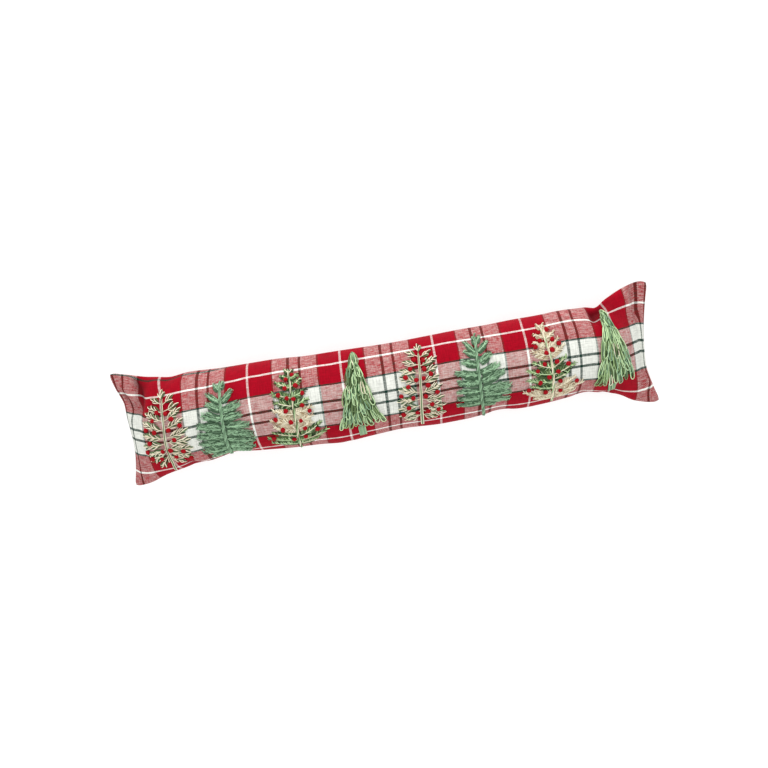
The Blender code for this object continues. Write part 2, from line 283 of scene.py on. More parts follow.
    def loft(self, u: np.ndarray, half_width: np.ndarray) -> np.ndarray:
        """Half the thickness at u, such that each oval section uses up the cover's girth."""
        low = np.zeros_like(half_width)
        high = np.full_like(half_width, self.loft_max)
        for _ in range(24):
            mid = (low + high) / 2
            spread = ((half_width - mid) / (half_width + mid)) ** 2
            around = 1 + 3 * spread / (10 + np.sqrt(4 - 3 * spread))
            loose = math.pi * (half_width + mid) * around < 2 * self.half_girth
            low = np.where(loose, mid, low)
            high = np.where(loose, high, mid)
        cloth = self.panel.length / 2 - np.abs(u)
        closing = np.sin(math.pi / 2 * np.clip(cloth / self.end_cloth, 0.0, 1.0))
        full = closing + self.end_fullness * closing * (1 - closing)
        return (low + high) / 2 * np.minimum(1.0, full)

    def oval_angle(self, half_width: np.ndarray, loft: np.ndarray, share: np.ndarray) -> np.ndarray:
        """The angle from an oval's crown at which its arc is this share of a quarter's."""
        angles = np.linspace(0.0, math.pi / 2, 49)
        y = half_width[..., None] * np.sin(angles)
        z = loft[..., None] * np.cos(angles)
        steps = np.hypot(np.diff(y, axis=-1), np.diff(z, axis=-1))
        arcs = np.concatenate([np.zeros_like(steps[..., :1]), np.cumsum(steps, axis=-1)], axis=-1)
        wanted = np.abs(share) * arcs[..., -1]
        after = np.clip((arcs < wanted[..., None]).sum(axis=-1), 1, len(angles) - 1)
        low = np.take_along_axis(arcs, (after - 1)[..., None], -1)[..., 0]
        high = np.take_along_axis(arcs, after[..., None], -1)[..., 0]
        part = (wanted - low) / np.maximum(high - low, 1e-12)
        return np.sign(share) * (angles[after - 1] + part * (angles[1] - angles[0]))

    def plain(self, u: np.ndarray, v: np.ndarray, side: int) -> np.ndarray:
        """Cloth points of the face (side 1) or the back (side -1), without the creases."""
        edge = self.seam_x(u)
        upper, lower = self.seam_ys(edge)
        half_width = (upper - lower) / 2
        loft = self.loft(u, half_width)
        share = 2 * v / self.panel.height
        angle = self.oval_angle(half_width, loft, share)
        outward = np.zeros_like(u)
        upward = np.zeros_like(u)
        half = self.panel.length / 2
        near = smoothstep(np.abs(u), half - self.corner_length, half) * share**2
        for end, across, reach, height in self.corners:
            here = near * (end * u > 0) * (across * v >= 0)
            outward += end * reach * here
            upward += height * here
        from_waist = share - self.end_seam_waist
        to_corner = np.where(from_waist < 0, -1.0, 1.0) - self.end_seam_waist
        pull = 1.0 - np.clip(from_waist / to_corner, 0.0, 1.0) ** self.end_seam_bow
        for end, middle, dent_half_width, depth in self.dents:
            beside = np.exp(-(((v - middle) / dent_half_width) ** 2))
            close = smoothstep(end * u, half - self.corner_length, half)
            outward -= end * depth * beside * close
        x = edge + (self.middle_x(u) - edge) * pull + outward
        y = (upper + lower) / 2 + half_width * np.sin(angle)
        z = self.seam_level + upward + side * (self.seam_thickness / 2 + loft * np.cos(angle))
        return np.stack([x, y, z], axis=-1)

    def crease_depth(self, u: np.ndarray, v: np.ndarray, side: int) -> np.ndarray:
        """How far the creases pull cloth points in."""
        depth = np.zeros_like(u)
        for where, u0, v0, u1, v1, half_width, deepest in self.creases:
            if where != side:
                continue
            run_u, run_v = u1 - u0, v1 - v0
            along = ((u - u0) * run_u + (v - v0) * run_v) / (run_u**2 + run_v**2)
            along = np.clip(along, 0.0, 1.0)
            away = np.hypot(u - u0 - along * run_u, v - v0 - along * run_v)
            fading = 1.0 - self.crease_fade * along**2
            depth += deepest * fading * np.exp(-((away / half_width) ** 2))
        to_seam = np.maximum(np.abs(2 * u / self.panel.length), np.abs(2 * v / self.panel.height))
        return depth * (1.0 - smoothstep(to_seam, self.rim, 1.0))

    def place(self, u: np.ndarray, v: np.ndarray, side: int) -> np.ndarray:
        """Cloth points of the finished panel, flat where the back lies on the surface."""
        step = 0.002
        inside_u = np.clip(u, step - self.panel.length / 2, self.panel.length / 2 - step)
        inside_v = np.clip(v, step - self.panel.height / 2, self.panel.height / 2 - step)
        along = self.plain(inside_u + step, inside_v, side) - self.plain(inside_u - step, inside_v, side)
        across = self.plain(inside_u, inside_v + step, side) - self.plain(inside_u, inside_v - step, side)
        normal = np.cross(along, across) * side
        normal /= np.linalg.norm(normal, axis=-1, keepdims=True)
        points = self.plain(u, v, side) - normal * self.crease_depth(u, v, side)[..., None]
        points[..., 2] = np.maximum(points[..., 2], 0.0)
        return points


@dataclass(frozen=True)
class ClothYarn:
    """A dyed yarn: its colour, and how much of a crossing it covers where plain white covers 1."""

    colour: str
    cover: float


CLOTH_YARNS = {
    "red": ClothYarn("#980019", 2.4),
    "white": ClothYarn("#dadcd4", 1.0),
    "bright": ClothYarn("#eeefe9", 2.4),
    "green": ClothYarn("#17332a", 5.0),
    "thin_green": ClothYarn("#17332a", 2.0),
}


@dataclass(frozen=True)
class Sett:
    """The check's stripes in one direction: a run of bands, each with its yarn and its width.

    The widths are in millimetres, and start is the u or v in metres at which the run begins.
    """

    start: float
    bands: tuple[tuple[str, float], ...]

    @property
    def period(self) -> float:
        """The length of one repeat, in metres."""
        return sum(width for _, width in self.bands) / 1000


@dataclass(frozen=True)
class CheckCloth:
    """Plain-woven cotton, yarn-dyed in red, white and dark green: matt, with a soft fuzz.

    Where two colours cross, both yarns show, so the crossings look mixed. The lengthwise yarn
    lies a little more on top. The real threads are about 0.5 mm apart, which is too fine to
    show, so they are drawn 1.2 mm apart.
    """

    thread: float = 0.0012
    lengthwise_cover: float = 1.52
    thread_contrast: float = 0.22
    unevenness: float = 0.55
    slub: float = 0.22
    fold_shade: float = 0.6
    roughness: float = 0.86
    crosswise: Sett = Sett(
        start=-0.0012,
        bands=(
            ("thin_green", 2.4),
            ("red", 33.2),
            ("bright", 3.4),
            ("red", 34.8),
            ("thin_green", 2.4),
            ("white", 22.1),
            ("green", 4.4),
            ("white", 13.8),
            ("green", 4.4),
            ("white", 25.1),
        ),
    )
    lengthwise: Sett = Sett(
        start=-0.0388,
        bands=(
            ("green", 2.8),
            ("white", 22.8),
            ("green", 4.2),
            ("white", 13.1),
            ("green", 4.2),
            ("white", 23.6),
            ("green", 2.8),
            ("red", 31.5),
            ("bright", 3.2),
            ("red", 29.8),
        ),
    )
    # Past this line of the check, the cloth of the back shows, cut to mirror that of the face.
    seam_line: float = 0.1006
    # The back panel's check across it: times this, and moved by this, so both seams are in red.
    back_cut: tuple[float, float] = (0.985, -0.002)
    across_at: tuple[float, float, float] = (-0.070, 0.0, 0.070)
    shift: tuple[float, float] = (-0.0375, 0.0)

    # The cloth isn't cut quite on the grain, and the seams pull it. Columns: u, then how many
    # mm the check lies to -u at the lower seam, the middle and the upper seam, and then the
    # same for -v.
    off_grain: tuple = (
        (-0.450, 3.0, -3.0, -3.0, 0.0, 2.0, 4.4),
        (-0.430, 3.0, -3.5, -3.4, 5.5, 2.0, 3.6),
        (-0.408, -3.0, -8.0, 1.0, 7.5, 3.0, 4.4),
        (-0.383, -3.5, -6.0, 0.5, 7.0, 7.0, 11.5),
        (-0.360, -7.0, -8.0, -2.0, 8.5, 9.5, 12.0),
        (-0.320, 4.0, -1.0, 2.0, 12.5, 10.5, 12.0),
        (-0.290, 0.0, 0.5, 0.0, 10.0, 10.0, 13.0),
        (-0.250, 0.0, 2.0, 1.5, 9.0, 8.5, 9.0),
        (-0.215, 1.5, 3.0, 2.0, 3.0, 5.0, 5.0),
        (-0.150, 4.0, 2.0, 0.5, -2.0, 2.0, 2.0),
        (-0.107, 3.5, 1.0, 0.3, -4.5, -0.5, -1.0),
        (-0.050, 0.8, 0.0, 0.0, -5.0, 0.2, -1.0),
        (0.000, 2.0, -1.5, -1.5, -5.0, 0.8, -1.2),
        (0.090, 2.5, -2.0, -2.5, -7.5, -2.2, -2.0),
        (0.150, 4.5, -1.5, -1.0, -4.0, -0.5, 0.5),
        (0.200, 6.0, -1.0, -0.3, -2.5, 0.6, 1.8),
        (0.255, 9.0, 0.0, 1.5, -4.0, 0.6, 1.6),
        (0.300, 5.5, -2.5, 1.0, 2.5, 2.4, 2.0),
        (0.335, 8.0, -2.5, -1.5, 6.0, 2.0, 6.0),
        (0.370, 6.0, 1.0, -1.5, 11.5, 0.5, -3.5),
        (0.406, -1.0, 6.0, 0.0, 9.5, 0.0, -1.5),
        (0.418, 0.0, 1.0, 3.0, 8.0, 0.3, 0.0),
        (0.432, 1.0, -4.2, -0.5, 4.0, 0.6, 1.4),
        (0.450, -2.0, -1.0, 1.6, -0.5, -0.6, 2.6),
    )

    # At the ends, folds shift the check further. Columns: u and v of the middle, half width
    # along and across, and how many mm the check lies to -u there.
    puckers: tuple = (
        (-0.420, 0.034, 0.012, 0.012, -6.0),
        (-0.428, 0.068, 0.014, 0.016, 7.0),
        (-0.403, 0.056, 0.012, 0.015, 7.0),
        (-0.366, 0.100, 0.016, 0.022, 5.0),
        (0.440, -0.060, 0.020, 0.018, -11.0),
        (0.424, 0.055, 0.014, 0.014, 4.5),
    )

    def on_check(self, u: np.ndarray, v: np.ndarray) -> tuple[np.ndarray, np.ndarray]:
        """Where cloth points of the panel lie in the check.

        Args:
            u: along the panel.
            v: across the panel.

        Returns:
            The places along and across the check, in metres.
        """
        table = np.array(self.off_grain)
        row = np.clip(np.searchsorted(table[:, 0], u, side="right") - 1, 0, len(table) - 2)
        part = smoothstep(u, table[row, 0], table[row + 1, 0])[..., None]
        pulls = (table[row, 1:] * (1 - part) + table[row + 1, 1:] * part) / 1000
        low, middle, high = self.across_at
        t = np.clip(v, low * 1.06, high * 1.06)
        weights = (
            (t - middle) * (t - high) / ((low - middle) * (low - high)),
            (t - low) * (t - high) / ((middle - low) * (middle - high)),
            (t - low) * (t - middle) / ((high - low) * (high - middle)),
        )
        along = sum(w * pulls[..., k] for k, w in enumerate(weights))
        across = sum(w * pulls[..., 3 + k] for k, w in enumerate(weights))
        drawn = smoothstep(u, -0.310, -0.230)
        kept_in = np.where(v < 0, 1.0, 0.60 + 0.40 * drawn)
        across = across * (1 - 0.85 * smoothstep(np.abs(v), 0.080, 0.1015) * kept_in)
        across = across - 0.003 * smoothstep(v, 0.085, 0.1015) * drawn
        for at_u, at_v, half_u, half_v, shift in self.puckers:
            near = np.exp(-(((u - at_u) / half_u) ** 2) - ((v - at_v) / half_v) ** 2)
            along = along + shift / 1000 * near
        return u + self.shift[0] + along, v + self.shift[1] + across

    def back_across(self, v: np.ndarray) -> np.ndarray:
        """Where points of the back panel, which is cut on the grain, lie across the check."""
        return self.back_cut[0] * v + self.back_cut[1]

    def stripes(self, tree: Any, place: Any, sett: Sett) -> tuple[Any, Any]:
        """Adds the nodes that give the colour of the yarn at a place.

        Args:
            tree: the material's node tree.
            place: the socket with u or v, in metres.
            sett: the stripes in that direction.

        Returns:
            The sockets of the yarn's colour and of a number in step with its cover.
        """
        offset = add_node(tree, "ShaderNodeMath", {0: place, 1: -sett.start}, operation="ADD")
        turns = add_node(
            tree, "ShaderNodeMath", {0: offset.outputs[0], 1: 1 / sett.period}, operation="MULTIPLY"
        )
        share = add_node(tree, "ShaderNodeMath", {0: turns.outputs[0]}, operation="FRACT")
        ramp = add_node(tree, "ShaderNodeValToRGB", {"Fac": share.outputs[0]})
        ramp.color_ramp.interpolation = "CONSTANT"
        most = max(yarn.cover for yarn in CLOTH_YARNS.values())
        reached = 0.0
        for number, (name, width) in enumerate(sett.bands):
            stops = ramp.color_ramp.elements
            stop = stops[0] if number == 0 else stops.new(reached)
            yarn = CLOTH_YARNS[name]
            stop.color = linear(yarn.colour)[:3] + (yarn.cover / most,)
            reached += width / 1000 / sett.period
        ramp.color_ramp.elements.remove(ramp.color_ramp.elements[-1])
        return ramp.outputs["Color"], ramp.outputs["Alpha"]

    def streaks(self, tree: Any, place: Any, run: float, across: float) -> list:
        """Adds noise in short dashes along the lengthwise yarns, and along the crosswise ones.

        Args:
            tree: the material's node tree.
            place: the socket with u and v, in metres.
            run: how long a dash is, in metres.
            across: how wide a dash is, in metres.

        Returns:
            The two sockets, each about 0.5 on average.
        """
        made = []
        for scale in ((1 / run, 1 / across), (1 / across, 1 / run)):
            stretched = add_node(
                tree,
                "ShaderNodeVectorMath",
                {0: place, 1: (scale[0], scale[1], 1.0)},
                operation="MULTIPLY",
            )
            noise = add_node(
                tree,
                "ShaderNodeTexNoise",
                {"Vector": stretched.outputs[0], "Scale": 1.0, "Detail": 2.0, "Roughness": 0.6},
                noise_dimensions="2D",
            )
            made.append(noise.outputs[0])
        return made

    def weave(self, tree: Any, u: Any, v: Any) -> Any:
        """Adds the over and under of the threads, from -1 to 1, and returns its socket."""
        waves = []
        for place in (u, v):
            angle = add_node(
                tree, "ShaderNodeMath", {0: place, 1: math.pi / self.thread}, operation="MULTIPLY"
            )
            waves.append(add_node(tree, "ShaderNodeMath", {0: angle.outputs[0]}, operation="SINE"))
        made = add_node(
            tree, "ShaderNodeMath", {0: waves[0].outputs[0], 1: waves[1].outputs[0]}, operation="MULTIPLY"
        )
        return made.outputs[0]

    def material(self) -> bpy.types.Material:
        """The cloth's material."""
        made = bpy.data.materials.new("woven_cotton_check")
        made.use_nodes = True
        tree = made.node_tree
        shader = tree.nodes["Principled BSDF"]
        uv = add_node(tree, "ShaderNodeUVMap", uv_map=CLOTH_UV)
        split = add_node(tree, "ShaderNodeSeparateXYZ", {0: uv.outputs[0]})
        u = split.outputs["X"]
        past = {0: split.outputs["Y"], 1: -1.0, 2: 2 * self.seam_line}
        turned = add_node(tree, "ShaderNodeMath", past, operation="MULTIPLY_ADD")
        nearer = {0: split.outputs["Y"], 1: turned.outputs[0]}
        v = add_node(tree, "ShaderNodeMath", nearer, operation="MINIMUM").outputs[0]
        weft, weft_cover = self.stripes(tree, v, self.lengthwise)
        warp, warp_cover = self.stripes(tree, u, self.crosswise)
        weave = self.weave(tree, u, v)

        # The share of each crossing that the lengthwise yarn covers, uneven as the yarns are.
        lies_over = add_node(
            tree, "ShaderNodeMath", {0: weft_cover, 1: self.lengthwise_cover}, operation="MULTIPLY"
        )
        both = add_node(
            tree, "ShaderNodeMath", {0: lies_over.outputs[0], 1: warp_cover}, operation="ADD"
        )
        even_share = add_node(
            tree, "ShaderNodeMath", {0: lies_over.outputs[0], 1: both.outputs[0]}, operation="DIVIDE"
        )
        dashes = self.streaks(tree, uv.outputs[0], 0.0110, 0.0016)
        dash = add_node(
            tree,
            "ShaderNodeMath",
            {0: dashes[0], 1: 2.2, 2: dashes[1]},
            operation="MULTIPLY_ADD",
        )
        uneven = add_node(
            tree,
            "ShaderNodeMapRange",
            {
                "Value": dash.outputs[0],
                "From Min": 0.9,
                "From Max": 2.3,
                "To Min": -self.unevenness / 2,
                "To Max": self.unevenness / 2,
            },
        )
        crossed = add_node(
            tree,
            "ShaderNodeMath",
            {0: weave, 1: -self.thread_contrast, 2: uneven.outputs[0]},
            operation="MULTIPLY_ADD",
        )
        share = add_node(
            tree,
            "ShaderNodeMath",
            {0: even_share.outputs[0], 1: crossed.outputs[0]},
            operation="ADD",
            use_clamp=True,
        )
        colour = add_node(
            tree,
            "ShaderNodeMix",
            {"Factor": share.outputs[0], 6: warp, 7: weft},
            data_type="RGBA",
        )

        # Each yarn is thicker and thinner along its run, so the cloth is faintly streaked.
        slubs = self.streaks(tree, uv.outputs[0], 0.016, 0.0018)
        streak = add_node(tree, "ShaderNodeMath", {0: slubs[0], 1: slubs[1]}, operation="ADD")
        shade = add_node(
            tree,
            "ShaderNodeMapRange",
            {
                "Value": streak.outputs[0],
                "From Min": 0.6,
                "From Max": 1.4,
                "To Min": 1.0 - self.slub,
                "To Max": 1.0 + self.slub,
            },
        )
        # Little light gets down to the cloth in a fold.
        fold = add_node(tree, "ShaderNodeAttribute", attribute_name=FOLD)
        lit = add_node(
            tree,
            "ShaderNodeMath",
            {0: fold.outputs["Fac"], 1: -self.fold_shade, 2: 1.0},
            operation="MULTIPLY_ADD",
        )
        shade = add_node(
            tree, "ShaderNodeMath", {0: shade.outputs[0], 1: lit.outputs[0]}, operation="MULTIPLY"
        )
        shaded = add_node(
            tree,
            "ShaderNodeVectorMath",
            {0: colour.outputs[2], "Scale": shade.outputs[0]},
            operation="SCALE",
        )
        # Painted shade where folds and threads close the cloth in.
        with_recess_shade = paint_recess_shade(tree, shaded.outputs[0], 0.008, 0.35)
        tree.links.new(with_recess_shade, shader.inputs["Base Color"])
        height = add_node(
            tree,
            "ShaderNodeMath",
            {0: streak.outputs[0], 1: 1.5, 2: weave},
            operation="MULTIPLY_ADD",
        )
        bump = add_node(
            tree,
            "ShaderNodeBump",
            {"Height": height.outputs[0], "Strength": 0.45, "Distance": 0.00022},
        )
        tree.links.new(bump.outputs[0], shader.inputs["Normal"])
        shader.inputs["Roughness"].default_value = self.roughness
        shader.inputs["IOR"].default_value = 1.45
        shader.inputs["Specular IOR Level"].default_value = 0.10
        shader.inputs["Sheen Weight"].default_value = 0.03
        shader.inputs["Sheen Roughness"].default_value = 0.5
        return made


class Yarn(Enum):
    """The embroidery yarns, by their number on a tree."""

    CREAM = 0
    DEEP_GREEN = 1
    SEA_GREEN = 2
    LIGHT_GREEN = 3


@dataclass(frozen=True)
class YarnFinish:
    """Twisted stranded cotton: soft sheen, with its plies as fine slanting ridges, with painted shade in
    the grooves between them and painted light on their tops.
    """

    name: str
    dark: str
    light: str
    plies: int = 3
    ply_pitch: float = 0.0022
    roughness: float = 0.62

    def material(self) -> bpy.types.Material:
        """The yarn's material. It reads the run, girth and tint that each thread's mesh holds."""
        made = bpy.data.materials.new(self.name)
        made.use_nodes = True
        tree = made.node_tree
        shader = tree.nodes["Principled BSDF"]
        tint = add_node(tree, "ShaderNodeAttribute", attribute_name="tint")
        colour = add_node(
            tree,
            "ShaderNodeMix",
            {"Factor": tint.outputs["Fac"], 6: linear(self.dark), 7: linear(self.light)},
            data_type="RGBA",
        )
        run = add_node(tree, "ShaderNodeAttribute", attribute_name="run")
        girth = add_node(tree, "ShaderNodeAttribute", attribute_name="girth")
        turns = add_node(
            tree,
            "ShaderNodeMath",
            {0: run.outputs["Fac"], 1: 1 / self.ply_pitch},
            operation="MULTIPLY",
        )
        slant = add_node(
            tree,
            "ShaderNodeMath",
            {0: girth.outputs["Fac"], 1: float(self.plies), 2: turns.outputs[0]},
            operation="MULTIPLY_ADD",
        )
        angle = add_node(
            tree, "ShaderNodeMath", {0: slant.outputs[0], 1: 2 * math.pi}, operation="MULTIPLY"
        )
        ridge = add_node(tree, "ShaderNodeMath", {0: angle.outputs[0]}, operation="SINE")
        # Painted shade in the grooves between the plies, and painted light on their tops.
        ply_light_and_shade = add_node(
            tree,
            "ShaderNodeMapRange",
            {
                "Value": ridge.outputs[0],
                "From Min": -1.0,
                "From Max": 1.0,
                "To Min": 0.86,
                "To Max": 1.08,
            },
        )
        shaded = add_node(
            tree,
            "ShaderNodeVectorMath",
            {0: colour.outputs[2], "Scale": ply_light_and_shade.outputs[0]},
            operation="SCALE",
        )
        # Painted shade where the yarn is closed in between threads.
        with_recess_shade = paint_recess_shade(tree, shaded.outputs[0], 0.003, 0.30)
        tree.links.new(with_recess_shade, shader.inputs["Base Color"])
        bump = add_node(
            tree,
            "ShaderNodeBump",
            {"Height": ridge.outputs[0], "Strength": 0.5, "Distance": 0.00015},
        )
        tree.links.new(bump.outputs[0], shader.inputs["Normal"])
        shader.inputs["Roughness"].default_value = self.roughness
        shader.inputs["Specular IOR Level"].default_value = 0.15
        shader.inputs["Sheen Weight"].default_value = 0.04
        return made


YARN_FINISHES = {
    Yarn.CREAM: YarnFinish("cream_stranded_cotton", "#a17c4c", "#fff8dc"),
    Yarn.DEEP_GREEN: YarnFinish("deep_green_stranded_cotton", "#17300f", "#a3c283"),
    Yarn.SEA_GREEN: YarnFinish("sea_green_stranded_cotton", "#173c20", "#b0dab0"),
    Yarn.LIGHT_GREEN: YarnFinish("light_green_stranded_cotton", "#225821", "#d6f4bd"),
}


@dataclass(frozen=True)
class BerryFinish:
    """Knotted red wool: dull and deep red, a little fuzzy."""

    dark: str = "#6e040f"
    light: str = "#bc0719"

    def material(self) -> bpy.types.Material:
        """The berries' material."""
        made = bpy.data.materials.new("knotted_red_wool")
        made.use_nodes = True
        tree = made.node_tree
        shader = tree.nodes["Principled BSDF"]
        place = add_node(tree, "ShaderNodeTexCoord")
        # The wool's strands are 0.4 mm thick.
        strands = add_node(
            tree,
            "ShaderNodeTexNoise",
            {"Vector": place.outputs["Object"], "Scale": 1200.0, "Detail": 2.0},
        )
        colour = add_node(
            tree,
            "ShaderNodeMix",
            {"Factor": strands.outputs[0], 6: linear(self.dark), 7: linear(self.light)},
            data_type="RGBA",
        )
        tree.links.new(colour.outputs[2], shader.inputs["Base Color"])
        bump = add_node(
            tree,
            "ShaderNodeBump",
            {"Height": strands.outputs[0], "Strength": 0.6, "Distance": 0.0003},
        )
        tree.links.new(bump.outputs[0], shader.inputs["Normal"])
        shader.inputs["Roughness"].default_value = 0.8
        shader.inputs["Specular IOR Level"].default_value = 0.15
        shader.inputs["Sheen Weight"].default_value = 0.02
        return made


@dataclass
class Cover:
    """The sewn and filled cover: two panels of check cloth, joined all round by a seam."""

    form: StuffedForm = field(default_factory=StuffedForm)
    finish: CheckCloth = field(default_factory=CheckCloth)
    frames: int = 20
    pressure: float = 4.0
    cap: float = 0.008
    deep_fold: float = 0.012
    seed: int = 7
    points: dict[int, np.ndarray] = field(default_factory=dict)

    def cage(self) -> tuple[np.ndarray, np.ndarray, np.ndarray, list, list]:
        """The cover as one closed cage.

        Returns:
            The points as the filling holds them, the same points as cut flat, whether each is
            on the seam, the faces, and for each face the (u, v) and side of its corners.
        """
        u, v = self.form.panel.grid()
        rows, columns = u.shape
        face = self.form.place(u, v, 1)
        back = self.form.place(u, v, -1)
        rim = np.zeros(u.shape, bool)
        rim[[0, -1], :] = True
        rim[:, [0, -1]] = True
        face[rim] = back[rim] = (face[rim] + back[rim]) / 2
        number = {1: np.arange(rows * columns).reshape(rows, columns)}
        number[-1] = number[1].copy()
        number[-1][~rim] = rows * columns + np.arange((~rim).sum())
        placed = np.concatenate([face.reshape(-1, 3), back[~rim]])
        flat = np.stack([u, v, np.zeros_like(u)], axis=-1)
        cut = np.concatenate([flat.reshape(-1, 3), flat[~rim]])
        faces, corners = [], []
        for side in (1, -1):
            index = number[side]
            for r in range(rows - 1):
                for c in range(columns - 1):
                    ring = ((r, c), (r, c + 1), (r + 1, c + 1), (r + 1, c))
                    ring = ring if side > 0 else ring[::-1]
                    faces.append([int(index[at]) for at in ring])
                    corners.append([(u[at], v[at], side) for at in ring])
        on_rim = np.concatenate([rim.ravel(), np.zeros((~rim).sum(), bool)])
        return placed, cut, on_rim, faces, corners

    def settle(self, piece: bpy.types.Object, cut: np.ndarray, on_rim: np.ndarray) -> None:
        """Lets the cloth, cut flat, find its own small wrinkles round the filling.

        Args:
            piece: the cage, already in its stuffed shape.
            cut: the flat points, which set how long each thread really is.
            on_rim: which points lie on the seam, which stays where it is.
        """
        mesh = piece.data
        placed = np.array([vertex.co for vertex in mesh.vertices])
        piece.shape_key_add(name="stuffed")
        flat = piece.shape_key_add(name="cut_flat")
        flat.data.foreach_set("co", cut.ravel())
        flat.value = 0.0
        seam = piece.vertex_groups.new(name="seam")
        seam.add(np.nonzero(on_rim)[0].tolist(), 1.0, "ADD")
        cloth = piece.modifiers.new("settle", "CLOTH")
        cloth.settings.rest_shape_key = flat
        cloth.settings.vertex_group_mass = "seam"
        cloth.settings.quality = 6
        cloth.settings.mass = 0.25
        cloth.settings.air_damping = 2.0
        cloth.settings.tension_stiffness = 20.0
        cloth.settings.compression_stiffness = 20.0
        cloth.settings.shear_stiffness = 8.0
        cloth.settings.bending_stiffness = 0.4
        cloth.settings.use_pressure = True
        cloth.settings.uniform_pressure_force = self.pressure
        cloth.settings.effector_weights.gravity = 0.0
        cloth.collision_settings.use_collision = False
        cloth.collision_settings.use_self_collision = False
        cloth.point_cache.frame_start = 1
        cloth.point_cache.frame_end = self.frames
        scene = bpy.context.scene
        for number in range(1, self.frames + 1):
            scene.frame_set(number)
        graph = bpy.context.evaluated_depsgraph_get()
        evaluated = piece.evaluated_get(graph).data
        settled = np.array([vertex.co for vertex in evaluated.vertices])
        scene.frame_set(1)
        piece.modifiers.clear()
        piece.shape_key_clear()
        moved = settled - placed
        size = np.linalg.norm(moved, axis=1, keepdims=True)
        log.info("cloth moved by up to %.1f mm", 1000 * float(size.max()))
        moved *= np.minimum(1.0, self.cap / np.maximum(size, 1e-9))
        mesh.vertices.foreach_set("co", (placed + moved).ravel())
        mesh.update()

    def folds(self, cut: np.ndarray, count: int) -> np.ndarray:
        """How deep in a fold each of the cage's points lies, from 0 to 1."""
        on_face = np.arange(count) < self.form.panel.points
        depths = [self.form.crease_depth(cut[:, 0], cut[:, 1], side) for side in (1, -1)]
        return np.clip(np.where(on_face, *depths) / self.deep_fold, 0.0, 1.0) ** 1.3

    def maps(self, corners: list) -> list:
        """The cover's two maps: the flat cloth, to lay stitches by, and the check's."""
        u, v, side = np.array(corners).reshape(-1, 3).T
        on_u, on_v = self.finish.on_check(u, v)
        away = 2 * self.finish.lengthwise.period
        on_back = side < 0
        on_v = np.where(on_back, self.finish.back_across(v) - away, on_v)
        return [(CLOTH_UV, on_u, on_v), (FLAT_UV, u, v - away * on_back)]

    def build(self) -> bpy.types.Object:
        """Makes the cover and dresses it.

        Returns:
            The finished piece, which stands for the CAD cushion.
        """
        placed, cut, on_rim, faces, corners = self.cage()
        mesh = bpy.data.meshes.new("stuffed_cover")
        mesh.from_pydata(placed.tolist(), [], faces)
        for name, u, v in self.maps(corners):
            layer = mesh.uv_layers.new(name=name)
            layer.uv.foreach_set("vector", np.stack([u, v], axis=-1).astype(np.float32).ravel())
        values = self.folds(cut, len(placed))
        mesh.attributes.new(FOLD, "FLOAT", "POINT").data.foreach_set("value", values)
        piece = bpy.data.objects.new("stuffed_cover", mesh)
        bpy.context.scene.collection.objects.link(piece)
        self.settle(piece, cut, on_rim)
        smooth = piece.modifiers.new("smooth", "SUBSURF")
        smooth.levels = smooth.render_levels = 1
        smooth.uv_smooth = "PRESERVE_BOUNDARIES"
        graph = bpy.context.evaluated_depsgraph_get()
        fine = bpy.data.meshes.new_from_object(piece.evaluated_get(graph))
        piece.modifiers.clear()
        piece.data = fine
        fine.name = "stuffed_cover"
        fine.shade_smooth()
        co = np.array([vertex.co for vertex in fine.vertices])
        co[:, 2] = np.maximum(co[:, 2], 0.0)
        fine.vertices.foreach_set("co", co.ravel())
        fine.materials.clear()
        fine.materials.append(self.finish.material())
        self.read_face(fine)
        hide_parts("cushion")
        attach(piece, BODY)
        return piece

    def read_face(self, mesh: bpy.types.Mesh) -> None:
        """Keeps the face panel's points as a grid, to lay stitches by, and drops the flat map."""
        u, v = self.form.panel.grid()
        rows, columns = u.shape
        fine_rows, fine_columns = 2 * rows - 1, 2 * columns - 1
        layer = np.empty(len(mesh.loops) * 2, np.float32)
        mesh.uv_layers[FLAT_UV].uv.foreach_get("vector", layer)
        mesh.uv_layers.remove(mesh.uv_layers[FLAT_UV])
        layer = layer.reshape(-1, 2)
        loop_vertex = np.empty(len(mesh.loops), np.int32)
        mesh.loops.foreach_get("vertex_index", loop_vertex)
        co = np.array([vertex.co for vertex in mesh.vertices])
        on_face = np.abs(layer[:, 1]) <= self.form.panel.height / 2 + 1e-4
        middle_row, middle_column = rows // 2, columns // 2
        half = np.arange(fine_columns) / 2
        self.us = np.interp(half, np.arange(columns), u[middle_row])
        half = np.arange(fine_rows) / 2
        self.vs = np.interp(half, np.arange(rows), v[:, middle_column])
        c = np.abs(layer[on_face, 0][:, None] - self.us[None, :]).argmin(axis=1)
        r = np.abs(layer[on_face, 1][:, None] - self.vs[None, :]).argmin(axis=1)
        grid = np.full((fine_rows, fine_columns, 3), np.nan)
        grid[r, c] = co[loop_vertex[on_face]]
        for _ in range(4):
            lost = np.isnan(grid[..., 0])
            for axis, step in ((0, 1), (0, -1), (1, 1), (1, -1)):
                near = np.roll(grid, step, axis=axis)
                grid[lost] = np.where(np.isnan(grid[lost]), near[lost], grid[lost])
        self.grid = grid
        along = np.gradient(grid, axis=1)
        across = np.gradient(grid, axis=0)
        normal = np.cross(along, across)
        self.normals = normal / np.linalg.norm(normal, axis=-1, keepdims=True)

